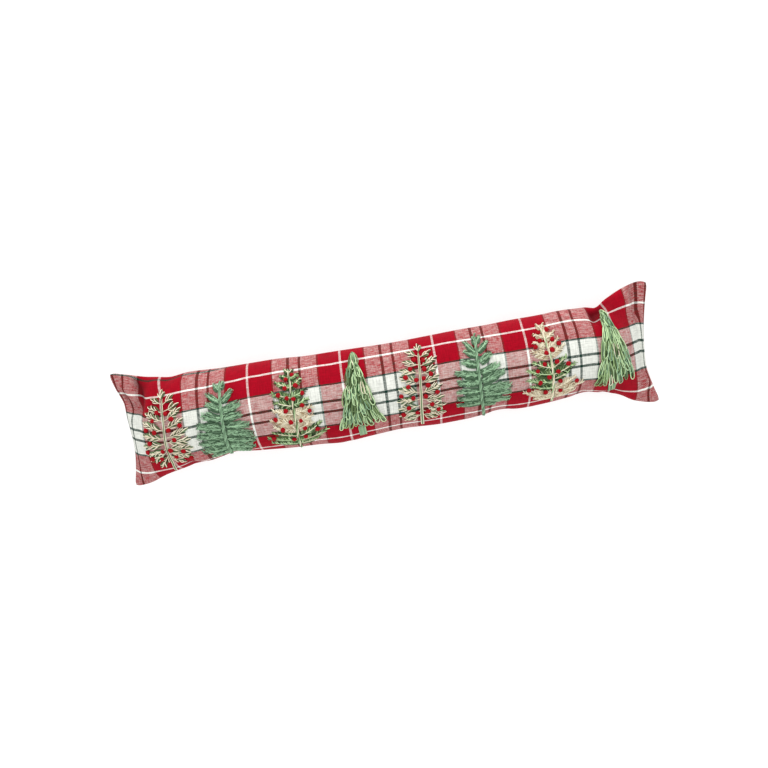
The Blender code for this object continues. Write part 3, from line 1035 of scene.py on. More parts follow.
    def lay(self, u: np.ndarray, v: np.ndarray, height: np.ndarray) -> np.ndarray:
        """The places of points at a height over the face panel's cloth."""
        c = np.clip(np.interp(u, self.us, np.arange(len(self.us))), 0, len(self.us) - 1.001)
        r = np.clip(np.interp(v, self.vs, np.arange(len(self.vs))), 0, len(self.vs) - 1.001)
        c0, r0 = c.astype(int), r.astype(int)
        fc, fr = (c - c0)[..., None], (r - r0)[..., None]
        placed = []
        for values in (self.grid, self.normals):
            low = values[r0, c0] * (1 - fc) + values[r0, c0 + 1] * fc
            high = values[r0 + 1, c0] * (1 - fc) + values[r0 + 1, c0 + 1] * fc
            placed.append(low * (1 - fr) + high * fr)
        return placed[0] + placed[1] * height[..., None]


@dataclass
class ThreadTree:
    """The Geometry Nodes that turn paths of stitching into rounded threads."""

    sides: int = 6
    group: Any = None

    def socket(self, name: str, kind: str, default: Any = None) -> str:
        """Adds a named input to the tree and returns its identifier."""
        made = self.group.interface.new_socket(name, in_out="INPUT", socket_type=kind)
        if default is not None:
            made.default_value = default
        return made.identifier

    def build(self) -> dict[str, str]:
        """Makes the node tree.

        Returns:
            For each named input, its socket's identifier.
        """
        self.group = bpy.data.node_groups.new("threads", "GeometryNodeTree")
        tree = self.group
        tree.interface.new_socket("Geometry", in_out="OUTPUT", socket_type="NodeSocketGeometry")
        names = {"Paths": self.socket("Paths", "NodeSocketGeometry")}
        names["Sides"] = self.socket("Sides", "NodeSocketInt", self.sides)
        for yarn in Yarn:
            names[yarn.name] = self.socket(yarn.name, "NodeSocketMaterial")
        given = add_node(tree, "NodeGroupInput").outputs
        path = add_node(tree, "GeometryNodeMeshToCurve", {"Mesh": given["Paths"]})
        upright = add_node(
            tree, "GeometryNodeSetCurveNormal", {"Curve": path.outputs[0]}, mode="Z_UP"
        )
        along = add_node(tree, "GeometryNodeSplineParameter")
        measured = add_node(
            tree,
            "GeometryNodeStoreNamedAttribute",
            {"Geometry": upright.outputs[0], "Name": "run", "Value": along.outputs["Length"]},
            data_type="FLOAT",
            domain="POINT",
        )
        circle = add_node(
            tree,
            "GeometryNodeCurvePrimitiveCircle",
            {"Resolution": given["Sides"], "Radius": 0.5},
        )
        # The profile starts underneath, so that the jump in its girth is out of sight.
        turned = add_node(
            tree,
            "GeometryNodeTransform",
            {"Geometry": circle.outputs["Curve"], "Rotation": (0.0, 0.0, math.radians(-60.0))},
        )
        around = add_node(tree, "GeometryNodeSplineParameter")
        profile = add_node(
            tree,
            "GeometryNodeStoreNamedAttribute",
            {"Geometry": turned.outputs[0], "Name": "girth", "Value": around.outputs["Factor"]},
            data_type="FLOAT",
            domain="POINT",
        )
        width = add_node(
            tree, "GeometryNodeInputNamedAttribute", {"Name": "width"}, data_type="FLOAT"
        )
        threads = add_node(
            tree,
            "GeometryNodeCurveToMesh",
            {
                "Curve": measured.outputs[0],
                "Profile Curve": profile.outputs[0],
                "Scale": width.outputs[0],
                "Fill Caps": True,
            },
        )
        shaped = add_node(tree, "GeometryNodeSetShadeSmooth", {0: threads.outputs[0]})
        last = shaped
        for yarn in Yarn:
            number = add_node(
                tree, "GeometryNodeInputNamedAttribute", {"Name": "yarn"}, data_type="INT"
            )
            same = add_node(
                tree,
                "FunctionNodeCompare",
                {2: number.outputs[0], 3: yarn.value},
                data_type="INT",
                operation="EQUAL",
            )
            last = add_node(
                tree,
                "GeometryNodeSetMaterial",
                {0: last.outputs[0], 1: same.outputs[0], 2: given[yarn.name]},
            )
        real = add_node(tree, "GeometryNodeRealizeInstances", {0: last.outputs[0]})
        out = add_node(tree, "NodeGroupOutput")
        tree.links.new(real.outputs[0], out.inputs[0])
        return names


@dataclass(frozen=True)
class Bough:
    """One bough: its root and tip and half its spread, in mm from the tree's foot."""

    root: tuple[float, float]
    tip: tuple[float, float]
    spread: float
    yarn: Yarn = Yarn.SEA_GREEN


def boughs(yarn: Yarn, *rows: tuple[float, float, float, float, float]) -> tuple[Bough, ...]:
    """Boughs of one yarn from rows of root x and y, tip x and y, and half spread, in mm."""
    return tuple(Bough((a, b), (c, d), spread, yarn) for a, b, c, d, spread in rows)


@dataclass(frozen=True)
class Strand:
    """A strand of a trunk: from -1 at its left side to 1 at its right, its yarn and its tint."""

    aside: float
    yarn: Yarn
    tint: float


@dataclass
class Needlework:
    """The stitching of one tree: runs of yarn in mm from its foot, then laid on the cloth."""

    name: str
    node: str
    slot: str
    foot: tuple[float, float]
    trunk: tuple[tuple[float, float], ...]
    grown: tuple[Bough, ...] = ()
    berries: tuple[tuple[float, float], ...] = ()
    seed: int = 1
    trunk_width: float = 6.0
    twist: float = 0.0
    needle: float = 1.35
    needle_pitch: float = 2.3
    needle_reach: float = 1.65
    needle_turn: float = 58.0
    needle_close: float = 34.0
    needle_tints: tuple[float, ...] = (0.05, 0.45, 0.6, 1.0)
    # The padding's dark tint paints the shade between the needles, over padding stitches that are real.
    shade_pad_tint: float = 0.22
    paths: list[np.ndarray] = field(default_factory=list)
    widths: list[np.ndarray] = field(default_factory=list)
    yarns: list[int] = field(default_factory=list)
    tints: list[float] = field(default_factory=list)

    def __post_init__(self) -> None:
        """Starts the tree's own run of random numbers."""
        self.rng = np.random.default_rng(self.seed)

    def vary(self, amount: float) -> float:
        """A random number between -amount and amount."""
        return float(self.rng.uniform(-amount, amount))

    def stitch(
        self, path: np.ndarray, width: float, yarn: Yarn, tint: float, taper: float = 0.6
    ) -> None:
        """Adds one run of yarn.

        Args:
            path: points as x, y and height over the cloth, in mm.
            width: the yarn's thickness, in mm.
            yarn: which yarn.
            tint: from 0 for the yarn's dark colour to 1 for its light one.
            taper: share of the thickness at both ends.
        """
        widths = np.full(len(path), width)
        widths[[0, -1]] *= taper
        self.paths.append(path)
        self.widths.append(widths)
        self.yarns.append(yarn.value)
        self.tints.append(min(1.0, max(0.0, tint)))

    @staticmethod
    def bend(start: Any, end: Any, bow: float, count: int) -> np.ndarray:
        """Points from start to end that bow to the left of the way by bow mm."""
        start, end = np.array(start, float), np.array(end, float)
        t = np.linspace(0.0, 1.0, count)[:, None]
        run = end - start
        left = np.array([-run[1], run[0]]) / max(np.hypot(*run), 1e-6)
        return start + run * t + left * bow * 4 * t * (1 - t)

    @staticmethod
    def raised(flat: np.ndarray, low: float, high: float) -> np.ndarray:
        """Gives flat points a height that rises from low at the ends to high in the middle."""
        t = np.linspace(0.0, 1.0, len(flat))
        height = low + (high - low) * np.sin(math.pi * t) ** 0.6
        return np.column_stack([flat, height])

    def grow_trunk(self, strands: tuple[Strand, ...], top_width: float, crown: float) -> None:
        """Lays strands up the trunk, side by side or twisted round each other.

        Args:
            strands: the strands, in the order of sewing.
            top_width: how wide the trunk is at its tip, in mm.
            crown: how high the middle of the trunk stands over the cloth, in mm.
        """
        low, high = self.trunk[0][1], self.trunk[-1][1]
        step = 2.0 / (len(strands) - 1)
        for number, strand in enumerate(strands):
            reach = high - abs(strand.aside) * 0.06 * (high - low) * self.rng.uniform(0.4, 1.0)
            y = np.linspace(low, reach, 22 if self.twist == 0 else 60)
            share = (y - low) / (high - low)
            whole = self.trunk_width * (1 - share) + top_width * share
            thick = whole / len(strands) * (1.12 if self.twist == 0 else 1.35)
            x = np.interp(y, [p[1] for p in self.trunk], [p[0] for p in self.trunk])
            if self.twist:
                turn = 2 * math.pi * (y / self.twist + number / len(strands))
                aside = np.sin(turn) * (whole - thick) / 2
                height = crown - 0.6 + 0.6 * np.cos(turn)
            else:
                wave = 0.06 * thick * step * np.sin(y / 7.0 + number * 2.1)
                aside = strand.aside * (whole - thick) / 2 + wave
                height = crown - 0.8 * strand.aside**2 + 0.15 * np.sin(y / 5.0 + number)
            height[[0, -1]] = -0.4
            path = np.column_stack([x + aside, y, height])
            self.stitch(path, thick, strand.yarn, strand.tint + self.vary(0.08))

    def pad_bough(self, bough: Bough, sag: float, level: float, tint: float) -> None:
        """Long stitches along a bough, which fill it out under its needles. Their dark tint also paints
        the shade between the needles.
        """
        root, run = np.array(bough.root), np.array(bough.tip) - np.array(bough.root)
        length = float(np.hypot(*run))
        for aside in (-0.9, -0.45, 0.0, 0.45, 0.9):
            left = np.array([-run[1], run[0]]) / length * aside * bough.spread
            end = root + run * (0.88 - 0.22 * abs(aside)) + left
            path = self.bend(root + left * 0.9, end, sag, 7)
            self.stitch(self.raised(path, 0.0, level * 0.5), 3.2, bough.yarn, tint + self.vary(0.06))

    def grow_feather(self, bough: Bough, level: float) -> None:
        """Slanting stitches on both sides of a bough, over long ones that pad it."""
        root, tip = np.array(bough.root), np.array(bough.tip)
        run = tip - root
        length = float(np.hypot(*run))
        heading = math.atan2(run[1], run[0])
        sag = -0.05 * length * math.copysign(1.0, run[0])
        pale = 0.35 if bough.yarn is Yarn.CREAM else 0.0
        self.pad_bough(bough, sag, level, self.shade_pad_tint + pale)
        vein = self.bend(root, tip, sag, 65)
        pairs = max(4, int(length / self.needle_pitch))
        for k in range(pairs):
            share = (k + 0.5) / pairs
            start = vein[int(share * 0.94 * 64)]
            for hand in (-1, 1):
                turn = self.needle_turn - self.needle_close * share + self.vary(10)
                turn = math.radians(turn) * hand
                fullness = 0.70 + 0.30 * math.sin(math.pi * min(1.0, 0.2 + share))
                reach = bough.spread * self.needle_reach * fullness * (1 + self.vary(0.25))
                away = np.array([math.cos(heading + turn), math.sin(heading + turn)]) * reach
                path = self.bend(start, start + away, -hand * 0.12 * reach, 5)
                lift = self.vary(0.45)
                height = level + np.array([0.8, 1.7, 1.5, 0.9, 0.0]) + lift
                height[-1] = -0.1
                tint = self.needle_tints[int(self.rng.integers(len(self.needle_tints)))]
                tint += self.vary(0.1) + pale / 2
                width = self.needle * (1 + self.vary(0.15))
                yarn = self.needle_yarn(bough.yarn)
                self.stitch(np.column_stack([path, height]), width, yarn, tint, 0.6)
        height = np.full(8, level + 2.1)
        height[[0, -1]] = level + 0.6, -0.1
        path = np.column_stack([vein[:57:8], height])
        self.stitch(path, self.needle * 1.1, self.vein_yarn(bough.yarn), 0.85 + self.vary(0.15))

    def needle_yarn(self, yarn: Yarn) -> Yarn:
        """The yarn of the next needle on a bough of this yarn."""
        return yarn

    def vein_yarn(self, yarn: Yarn) -> Yarn:
        """The yarn of the long stitch along the middle of a bough of this yarn."""
        return yarn

    def mesh(self, cover: Cover) -> bpy.types.Mesh:
        """The paths as edges, bent over the cloth, with each point's width, yarn and tint."""
        counts = [len(path) for path in self.paths]
        points = np.concatenate(self.paths)
        u = self.foot[0] + points[:, 0] / 1000
        v = self.foot[1] + points[:, 1] / 1000
        limit = cover.form.panel.height / 2
        placed = cover.lay(u, np.clip(v, -limit, limit), points[:, 2] / 1000)
        first = np.concatenate([[0], np.cumsum(counts)[:-1]])
        edges = [
            (int(start) + k, int(start) + k + 1)
            for start, count in zip(first, counts)
            for k in range(count - 1)
        ]
        made = bpy.data.meshes.new(self.name)
        made.from_pydata(placed.tolist(), edges, [])
        values = (
            ("width", "FLOAT", np.concatenate(self.widths) / 1000),
            ("tint", "FLOAT", np.repeat(self.tints, counts)),
            ("yarn", "INT", np.repeat(self.yarns, counts)),
        )
        for name, kind, data in values:
            made.attributes.new(name, kind, "POINT").data.foreach_set("value", data)
        return made

    def sew(self) -> None:
        """Adds all the tree's stitches. Each kind of tree has its own way."""
        raise NotImplementedError

    def build(self, cover: Cover, threads: ThreadTree, names: dict, finishes: dict) -> list:
        """Makes the tree's pieces on the cover.

        Args:
            cover: the finished cover, which the tree is sewn to.
            threads: the Geometry Nodes that round the threads.
            names: the identifiers of their inputs.
            finishes: the yarns' materials.

        Returns:
            The pieces that stand for the CAD tree.
        """
        self.sew()
        piece = bpy.data.objects.new(self.name, self.mesh(cover))
        bpy.context.scene.collection.objects.link(piece)
        made = piece.modifiers.new("threads", "NODES")
        made.node_group = threads.group
        for yarn in Yarn:
            made[names[yarn.name]] = finishes[yarn]
        graph = bpy.context.evaluated_depsgraph_get()
        piece.data, paths = bpy.data.meshes.new_from_object(piece.evaluated_get(graph)), piece.data
        piece.modifiers.clear()
        bpy.data.meshes.remove(paths)
        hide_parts(self.node)
        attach(piece, BODY)
        return [piece]


@dataclass
class FeatherTree(Needlework):
    """A dense sea-green tree of feathered boughs."""

    twist: float = 17.0
    needle: float = 1.15
    needle_pitch: float = 2.1
    needle_reach: float = 1.15
    needle_turn: float = 46.0
    needle_close: float = 10.0
    needle_tints: tuple[float, ...] = (0.15, 0.38, 0.58, 0.8, 1.0)
    fullness: float = 0.82
    shade_pad_tint: float = 0.2
    strands: tuple[Strand, ...] = (
        Strand(-1.0, Yarn.SEA_GREEN, 0.3),
        Strand(0.0, Yarn.SEA_GREEN, 0.5),
        Strand(1.0, Yarn.SEA_GREEN, 0.7),
    )

    def comb(self, bough: Bough, level: float) -> None:
        """Short stitches in lanes along a bough, over its needles."""
        root, run = np.array(bough.root), np.array(bough.tip) - np.array(bough.root)
        length = float(np.hypot(*run))
        ahead = run / length
        sideways = np.array([-ahead[1], ahead[0]])
        lanes = max(3, round(bough.spread * 2 / 1.9))
        for k in self.rng.permutation(lanes):
            aside = (2 * (k + 0.5) / lanes - 1) * bough.spread * self.fullness
            far = self.rng.uniform(0.0, 3.0)
            last = length * self.rng.uniform(0.84, 1.03)
            while far < last - 3.0:
                near, far = far, min(far + self.rng.uniform(5.0, 8.5), last)
                shares = np.sqrt(np.array([near, far]) / length)
                out = aside * (0.45 + 0.55 * shares) + np.array([0.0, self.vary(1.1)])
                start = root + ahead * near + sideways * out[0]
                end = root + ahead * far + sideways * out[1]
                path = self.bend(start, end, self.vary(0.5), 5)
                height = level + np.array([0.2, 1.8, 2.1, 1.7, 0.1]) + self.vary(0.35)
                tint = self.needle_tints[int(self.rng.integers(len(self.needle_tints)))]
                self.stitch(np.column_stack([path, height]), 1.15, bough.yarn, tint + self.vary(0.08))
                far -= 1.2

    def sew(self) -> None:
        """Sews the boughs from the lowest up, and the trunk over them."""
        for rank, bough in enumerate(reversed(self.grown)):
            self.grow_feather(bough, 0.1 + 0.07 * rank)
            self.comb(bough, 0.1 + 0.07 * rank)
        self.grow_trunk(self.strands, top_width=5.0, crown=3.4)


@dataclass
class BoughTree(Needlework):
    """A tree with bands of green boughs and of cream ones."""

    twist: float = 26.0
    needle: float = 1.25
    needle_pitch: float = 2.0
    needle_reach: float = 1.45
    needle_tints: tuple[float, ...] = (0.0, 0.2, 0.5, 0.7, 1.0, 1.0)
    shade_pad_tint: float = 0.16
    strands: tuple[Strand, ...] = (
        Strand(-1.0, Yarn.DEEP_GREEN, 0.35),
        Strand(0.0, Yarn.LIGHT_GREEN, 0.6),
        Strand(1.0, Yarn.CREAM, 0.85),
    )

    def needle_yarn(self, yarn: Yarn) -> Yarn:
        """The same yarn, or for some of the green needles a lighter one."""
        paler = yarn is Yarn.DEEP_GREEN and self.rng.random() < 0.35
        return Yarn.LIGHT_GREEN if paler else yarn

    def vein_yarn(self, yarn: Yarn) -> Yarn:
        """Cream for half of the veins, and the light green for the others."""
        return Yarn.CREAM if yarn is Yarn.CREAM or self.rng.random() < 0.5 else Yarn.LIGHT_GREEN

    def sew(self) -> None:
        """Sews the boughs from the lowest up, and the trunk over them."""
        for rank, bough in enumerate(reversed(self.grown)):
            self.grow_feather(bough, 0.1 + 0.05 * rank)
        self.grow_trunk(self.strands, top_width=3.6, crown=3.0)


@dataclass
class SprigTree(Needlework):
    """An airy tree of cream-edged sprigs with little green leaves."""

    leaf: float = 13.0
    leaf_gap: float = 0.9
    leaf_pitch: float = 5.2
    strands: tuple[Strand, ...] = (
        Strand(0.0, Yarn.LIGHT_GREEN, 0.15),
        Strand(-1.0, Yarn.CREAM, 0.9),
        Strand(1.0, Yarn.CREAM, 0.95),
    )

    def grow_leaf(self, start: np.ndarray, turn: float, size: float, level: float) -> None:
        """A green stitch under a cream one beside it, as a leaf with one bright edge. The green is kept
        dark, so that it also paints the shade beside the cream.
        """
        ahead = np.array([math.cos(turn), math.sin(turn)])
        left = np.array([-ahead[1], ahead[0]])
        length = self.leaf * size
        bright = 1 if ahead[1] > 0 or self.rng.random() < 0.3 else -1
        for hand, yarn in ((-bright, self.leaf_green()), (bright, Yarn.CREAM)):
            shade = yarn is not Yarn.CREAM
            begin = start + left * hand * 0.5
            end = start + ahead * length * (0.9 if shade else 1.0)
            path = self.bend(begin, end + left * hand * 0.6, hand * self.leaf_gap, 6)
            high = level + (0.9 if shade else 1.7) + self.vary(0.2)
            tint = 0.22 + self.vary(0.20) if shade else 0.98 + self.vary(0.10)
            self.stitch(self.raised(path, level * 0.5, high), 1.75 if shade else 1.35, yarn, tint)

    def leaf_green(self) -> Yarn:
        """The green of the next leaf."""
        return Yarn.LIGHT_GREEN if self.rng.random() < 0.3 else Yarn.DEEP_GREEN

    def grow_sprig(self, bough: Bough, level: float) -> None:
        """A stem with leaves on both sides and one at its tip."""
        root, tip = np.array(bough.root), np.array(bough.tip)
        run = tip - root
        length = float(np.hypot(*run))
        heading = math.atan2(run[1], run[0])
        sag = -0.06 * length * math.copysign(1.0, run[0])
        stem = self.bend(root, tip, sag, 25)
        along = max(1, int((length - self.leaf * 0.8) / self.leaf_pitch))
        for k in range(along):
            share = (0.14 + 0.60 * (k + 0.5) / along) if along > 1 else 0.45
            for hand in (-1, 1):
                start = stem[int(share * 24)]
                turn = heading + hand * math.radians(27 + self.vary(11))
                self.grow_leaf(start, turn, (1.1 - 0.35 * share) * (1 + self.vary(0.15)), level)
        self.grow_leaf(stem[18], heading + self.vary(0.1), 0.9, level)
        path = self.raised(stem[::3], level + 0.6, level + 2.0)
        self.stitch(path, 1.1, Yarn.CREAM, 0.85 + self.vary(0.15))

    def sew(self) -> None:
        """Sews the sprigs from the lowest up, the trunk over them and leaves at its tip."""
        for rank, bough in enumerate(reversed(self.grown)):
            self.grow_sprig(bough, 0.1 + 0.05 * rank)
        self.grow_trunk(self.strands, top_width=2.6, crown=2.8)
        x, y = self.trunk[-1]
        for turn, size in ((118, 0.9), (90, 1.3), (62, 0.9)):
            self.grow_leaf(np.array([x, y - 4.0]), math.radians(turn), size, 1.4)


@dataclass
class FrondTree(Needlework):
    """A cone of long fronds that hang in overlapping rows over a short block of trunk."""

    # The lowest and the highest tips: y, and x of the first and of the last of their row.
    lowest: tuple[float, float, float] = (24.0, -35.5, 35.5)
    highest: tuple[float, float, float] = (126.0, -5.0, 5.5)
    rows: int = 10
    length: float = 24.0
    pitch: float = 8.6
    frond_half_width: float = 3.0
    splay: float = 80.0
    flare: float = 0.8
    outline_cream: float = 0.03
    wisps: float = 0.9
    block: tuple[float, float, float, float] = (-8.0, 3.5, -2.0, 24.0)
    block_lean: float = 0.0

    def outline_look(self) -> tuple[Yarn, float]:
        """The yarn and the tint of the next frond's outline."""
        if self.rng.random() < self.outline_cream:
            return Yarn.CREAM, 0.75 + self.vary(0.2)
        return (
            (Yarn.LIGHT_GREEN, 1.0),
            (Yarn.LIGHT_GREEN, 0.85),
            (Yarn.LIGHT_GREEN, 0.5),
            (Yarn.SEA_GREEN, 0.6),
            (Yarn.DEEP_GREEN, 0.8),
            (Yarn.DEEP_GREEN, 0.3),
        )[int(self.rng.integers(6))]

    def filling_look(self) -> tuple[Yarn, float]:
        """The yarn and the tint of the next strand inside a frond."""
        return (
            (Yarn.DEEP_GREEN, 0.0),
            (Yarn.DEEP_GREEN, 0.1),
            (Yarn.DEEP_GREEN, 0.3),
            (Yarn.LIGHT_GREEN, 0.0),
            (Yarn.LIGHT_GREEN, 0.25),
            (Yarn.SEA_GREEN, 0.25),
        )[int(self.rng.integers(6))]

    def grow_frond(self, tip: np.ndarray, top: np.ndarray, level: float, pale: float) -> None:
        """A long drop: an outline that turns round at the tip, filled with strands.

        Args:
            tip: the x and y of its lower end, in mm.
            top: the x and y of its upper end.
            level: how high it starts over the cloth.
            pale: how much lighter than the usual its yarn is.
        """
        run = tip - top
        length = float(np.hypot(*run))
        ahead = run / length
        left = np.array([-ahead[1], ahead[0]])
        half = self.frond_half_width * (1 + self.vary(0.25))
        shares = np.array([0.0, 0.2, 0.45, 0.7, 0.88, 0.97, 1.0, 0.97, 0.88, 0.7, 0.45, 0.2, 0.0])
        sides = np.array([0.1, 0.5, 0.85, 1.0, 0.9, 0.5, 0, -0.5, -0.9, -1.0, -0.85, -0.5, -0.1])
        rise = np.array([0.2, 1.1, 1.7, 1.9, 1.7, 1.3, 1.0, 1.3, 1.7, 1.9, 1.7, 1.1, 0.2])
        flat = top + np.outer(shares * length, ahead) + np.outer(sides * half, left)
        flat += np.outer(np.sin(math.pi * shares) * self.vary(1.6), left)
        yarn, tint = self.outline_look()
        tint += pale + self.vary(0.08)
        self.stitch(np.column_stack([flat, level + rise]), 1.55, yarn, tint)
        for aside in (-0.35, 0.35):
            start = top + left * aside * half * 0.2
            end = top + ahead * length * 0.92 + left * aside * half * 0.9
            path = self.bend(start, end, aside * 0.8, 8)
            t = np.linspace(0.0, 1.0, 8)
            height = level + 0.1 + 0.9 * np.sin(math.pi * t) ** 0.5
            yarn, tint = self.filling_look()
            tint += pale * 0.4 + self.vary(0.06)
            self.stitch(np.column_stack([path, height]), 1.9, yarn, tint)

    def grow_wisp(self, tip: np.ndarray, top: np.ndarray, level: float) -> None:
        """A single light strand that lies askew over the fronds."""
        run = tip - top
        askew = np.array([self.vary(3.0), self.vary(3.0)])
        path = self.bend(top + run * 0.1 + askew, top + run * 0.7 - askew * 0.5, self.vary(1.5), 6)
        yarn, tint = self.outline_look()
        self.stitch(self.raised(path, level + 0.6, level + 2.5), 1.3, yarn, tint)

    def pad(self) -> None:
        """Lays dark strands from the apex to the lowest row, which show between the fronds: real
        under-stitching, dark as painted shade between them.
        """
        apex = np.array(self.trunk[-1])
        y, first, last = self.lowest
        for k in range(26):
            end = np.array([first + 5 + (last - first - 10) * k / 25, y + 12])
            path = self.bend(apex + np.array([self.vary(1.2), -10.0]), end, 0.0, 12)
            self.stitch(self.raised(path, 0.0, 0.9), 3.0, Yarn.DEEP_GREEN, 0.1 + self.vary(0.1))

    def sew(self) -> None:
        """Sews the block of trunk and then the rows of fronds from the lowest up."""
        x0, x1, y0, y1 = self.block
        for k in range(8):
            share = (k + 0.5) / 8
            x = x0 + (x1 - x0) * share
            path = self.bend((x, y0), (x + self.block_lean, y1), 0.0, 6)
            yarn = Yarn.LIGHT_GREEN if k % 3 == 1 else Yarn.SEA_GREEN
            self.stitch(self.raised(path, -0.2, 1.6), 1.7, yarn, 0.55 + self.vary(0.3))
        self.pad()
        apex = np.array(self.trunk[-1])
        for rank in range(self.rows):
            share = rank / (self.rows - 1)
            near = (share, share**self.flare, share**self.flare)
            y, first, last = (
                low * (1 - t) + high * t for t, low, high in zip(near, self.lowest, self.highest)
            )
            count = max(3, round((last - first) / self.pitch) + 1)
            for k in self.rng.permutation(count):
                across = (k + (0.25 if rank % 2 else -0.25) * (0 < k < count - 1)) / (count - 1)
                ragged = self.vary(6.5) * (rank > 0) + self.vary(2.5)
                tip = np.array([first + (last - first) * across, y - ragged])
                hang = np.array([apex[0] * share, min(apex[1] + 3.0, y + self.splay)])
                toward = hang + np.array([self.vary(16.0) * (1 - share), 0.0]) - tip
                reach = self.length * (1 + self.vary(0.25))
                part = 1.0 if rank == self.rows - 1 else reach / float(np.hypot(*toward))
                top = tip + toward * min(1.0, part)
                level = 0.3 + 0.12 * rank + self.vary(0.25)
                self.grow_frond(tip, top, level, 0.22 - 0.34 * share)
                if self.rng.random() < self.wisps:
                    self.grow_wisp(tip, top, 0.3 + 0.12 * rank)


@dataclass
class Berries:
    """Knotted red berries, set on the threads of a tree."""

    diameter: float = 0.0076
    squash: float = 0.72
    seed: int = 5
    group: Any = None
    names: dict[str, str] = field(default_factory=dict)

    def prepare(self, finish: bpy.types.Material) -> None:
        """Makes the node tree that sets a berry at each point."""
        self.group = bpy.data.node_groups.new("berries", "GeometryNodeTree")
        tree = self.group
        tree.interface.new_socket("Geometry", in_out="OUTPUT", socket_type="NodeSocketGeometry")
        for name, kind in (
            ("Places", "NodeSocketGeometry"),
            ("Diameter", "NodeSocketFloat"),
            ("Squash", "NodeSocketFloat"),
            ("Seed", "NodeSocketInt"),
            ("Wool", "NodeSocketMaterial"),
        ):
            made = tree.interface.new_socket(name, in_out="INPUT", socket_type=kind)
            self.names[name] = made.identifier
        given = add_node(tree, "NodeGroupInput").outputs
        ball = add_node(
            tree, "GeometryNodeMeshUVSphere", {"Segments": 14, "Rings": 9, "Radius": 0.5}
        )
        place = add_node(tree, "GeometryNodeInputPosition")
        lumps = add_node(
            tree, "ShaderNodeTexNoise", {"Vector": place.outputs[0], "Scale": 5.0, "Detail": 1.0}
        )
        centred = add_node(
            tree, "ShaderNodeMath", {0: lumps.outputs[0], 1: 0.5}, operation="SUBTRACT"
        )
        swelling = add_node(
            tree, "ShaderNodeVectorMath", {0: place.outputs[0], "Scale": centred.outputs[0]},
            operation="SCALE",
        )
        lumpy = add_node(
            tree,
            "GeometryNodeSetPosition",
            {"Geometry": ball.outputs[0], "Offset": swelling.outputs[0]},
        )
        smooth = add_node(tree, "GeometryNodeSetShadeSmooth", {0: lumpy.outputs[0]})
        up = add_node(
            tree, "GeometryNodeInputNamedAttribute", {"Name": "up"}, data_type="FLOAT_VECTOR"
        )
        upright = add_node(
            tree, "FunctionNodeAlignRotationToVector", {"Vector": up.outputs[0]}, axis="Z"
        )
        spin = add_node(
            tree,
            "FunctionNodeRandomValue",
            {0: (0.0, 0.0, 0.0), 1: (0.3, 0.3, 6.28), "Seed": given["Seed"]},
            data_type="FLOAT_VECTOR",
        )
        turned = add_node(
            tree,
            "FunctionNodeRotateRotation",
            {0: upright.outputs[0], 1: spin.outputs[0]},
            rotation_space="LOCAL",
        )
        growth = add_node(
            tree,
            "FunctionNodeRandomValue",
            {2: 0.88, 3: 1.10, "Seed": given["Seed"]},
            data_type="FLOAT",
        )
        across = add_node(
            tree, "ShaderNodeMath", {0: growth.outputs[1], 1: given["Diameter"]},
            operation="MULTIPLY",
        )
        high = add_node(
            tree, "ShaderNodeMath", {0: across.outputs[0], 1: given["Squash"]},
            operation="MULTIPLY",
        )
        size = add_node(
            tree,
            "ShaderNodeCombineXYZ",
            {0: across.outputs[0], 1: across.outputs[0], 2: high.outputs[0]},
        )
        points = add_node(tree, "GeometryNodeMeshToPoints", {"Mesh": given["Places"]})
        sown = add_node(
            tree,
            "GeometryNodeInstanceOnPoints",
            {
                "Points": points.outputs[0],
                "Instance": smooth.outputs[0],
                "Rotation": turned.outputs[0],
                "Scale": size.outputs[0],
            },
        )
        real = add_node(tree, "GeometryNodeRealizeInstances", {0: sown.outputs[0]})
        dyed = add_node(
            tree, "GeometryNodeSetMaterial", {0: real.outputs[0], 2: given["Wool"]}
        )
        out = add_node(tree, "NodeGroupOutput")
        tree.links.new(dyed.outputs[0], out.inputs[0])
        self.finish = finish

    def sow(self, tree: Needlework, cover: Cover, level: float = 2.6) -> bpy.types.Object:
        """Sets the berries of one tree and returns their piece."""
        spots = np.array(tree.berries, float) / 1000
        u, v = tree.foot[0] + spots[:, 0], tree.foot[1] + spots[:, 1]
        low = cover.lay(u, v, np.full(len(u), level / 1000))
        up = cover.lay(u, v, np.full(len(u), level / 1000 + 1.0)) - low
        name = tree.name.replace("threads", "berries")
        mesh = bpy.data.meshes.new(name)
        mesh.from_pydata(low.tolist(), [], [])
        mesh.attributes.new("up", "FLOAT_VECTOR", "POINT").data.foreach_set("vector", up.ravel())
        piece = bpy.data.objects.new(name, mesh)
        bpy.context.scene.collection.objects.link(piece)
        made = piece.modifiers.new("berries", "NODES")
        made.node_group = self.group
        made[self.names["Diameter"]] = self.diameter
        made[self.names["Squash"]] = self.squash
        made[self.names["Seed"]] = self.seed + tree.seed
        made[self.names["Wool"]] = self.finish
        graph = bpy.context.evaluated_depsgraph_get()
        piece.data = bpy.data.meshes.new_from_object(piece.evaluated_get(graph))
        piece.modifiers.clear()
        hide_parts(tree.node)
        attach(piece, BODY)
        return piece


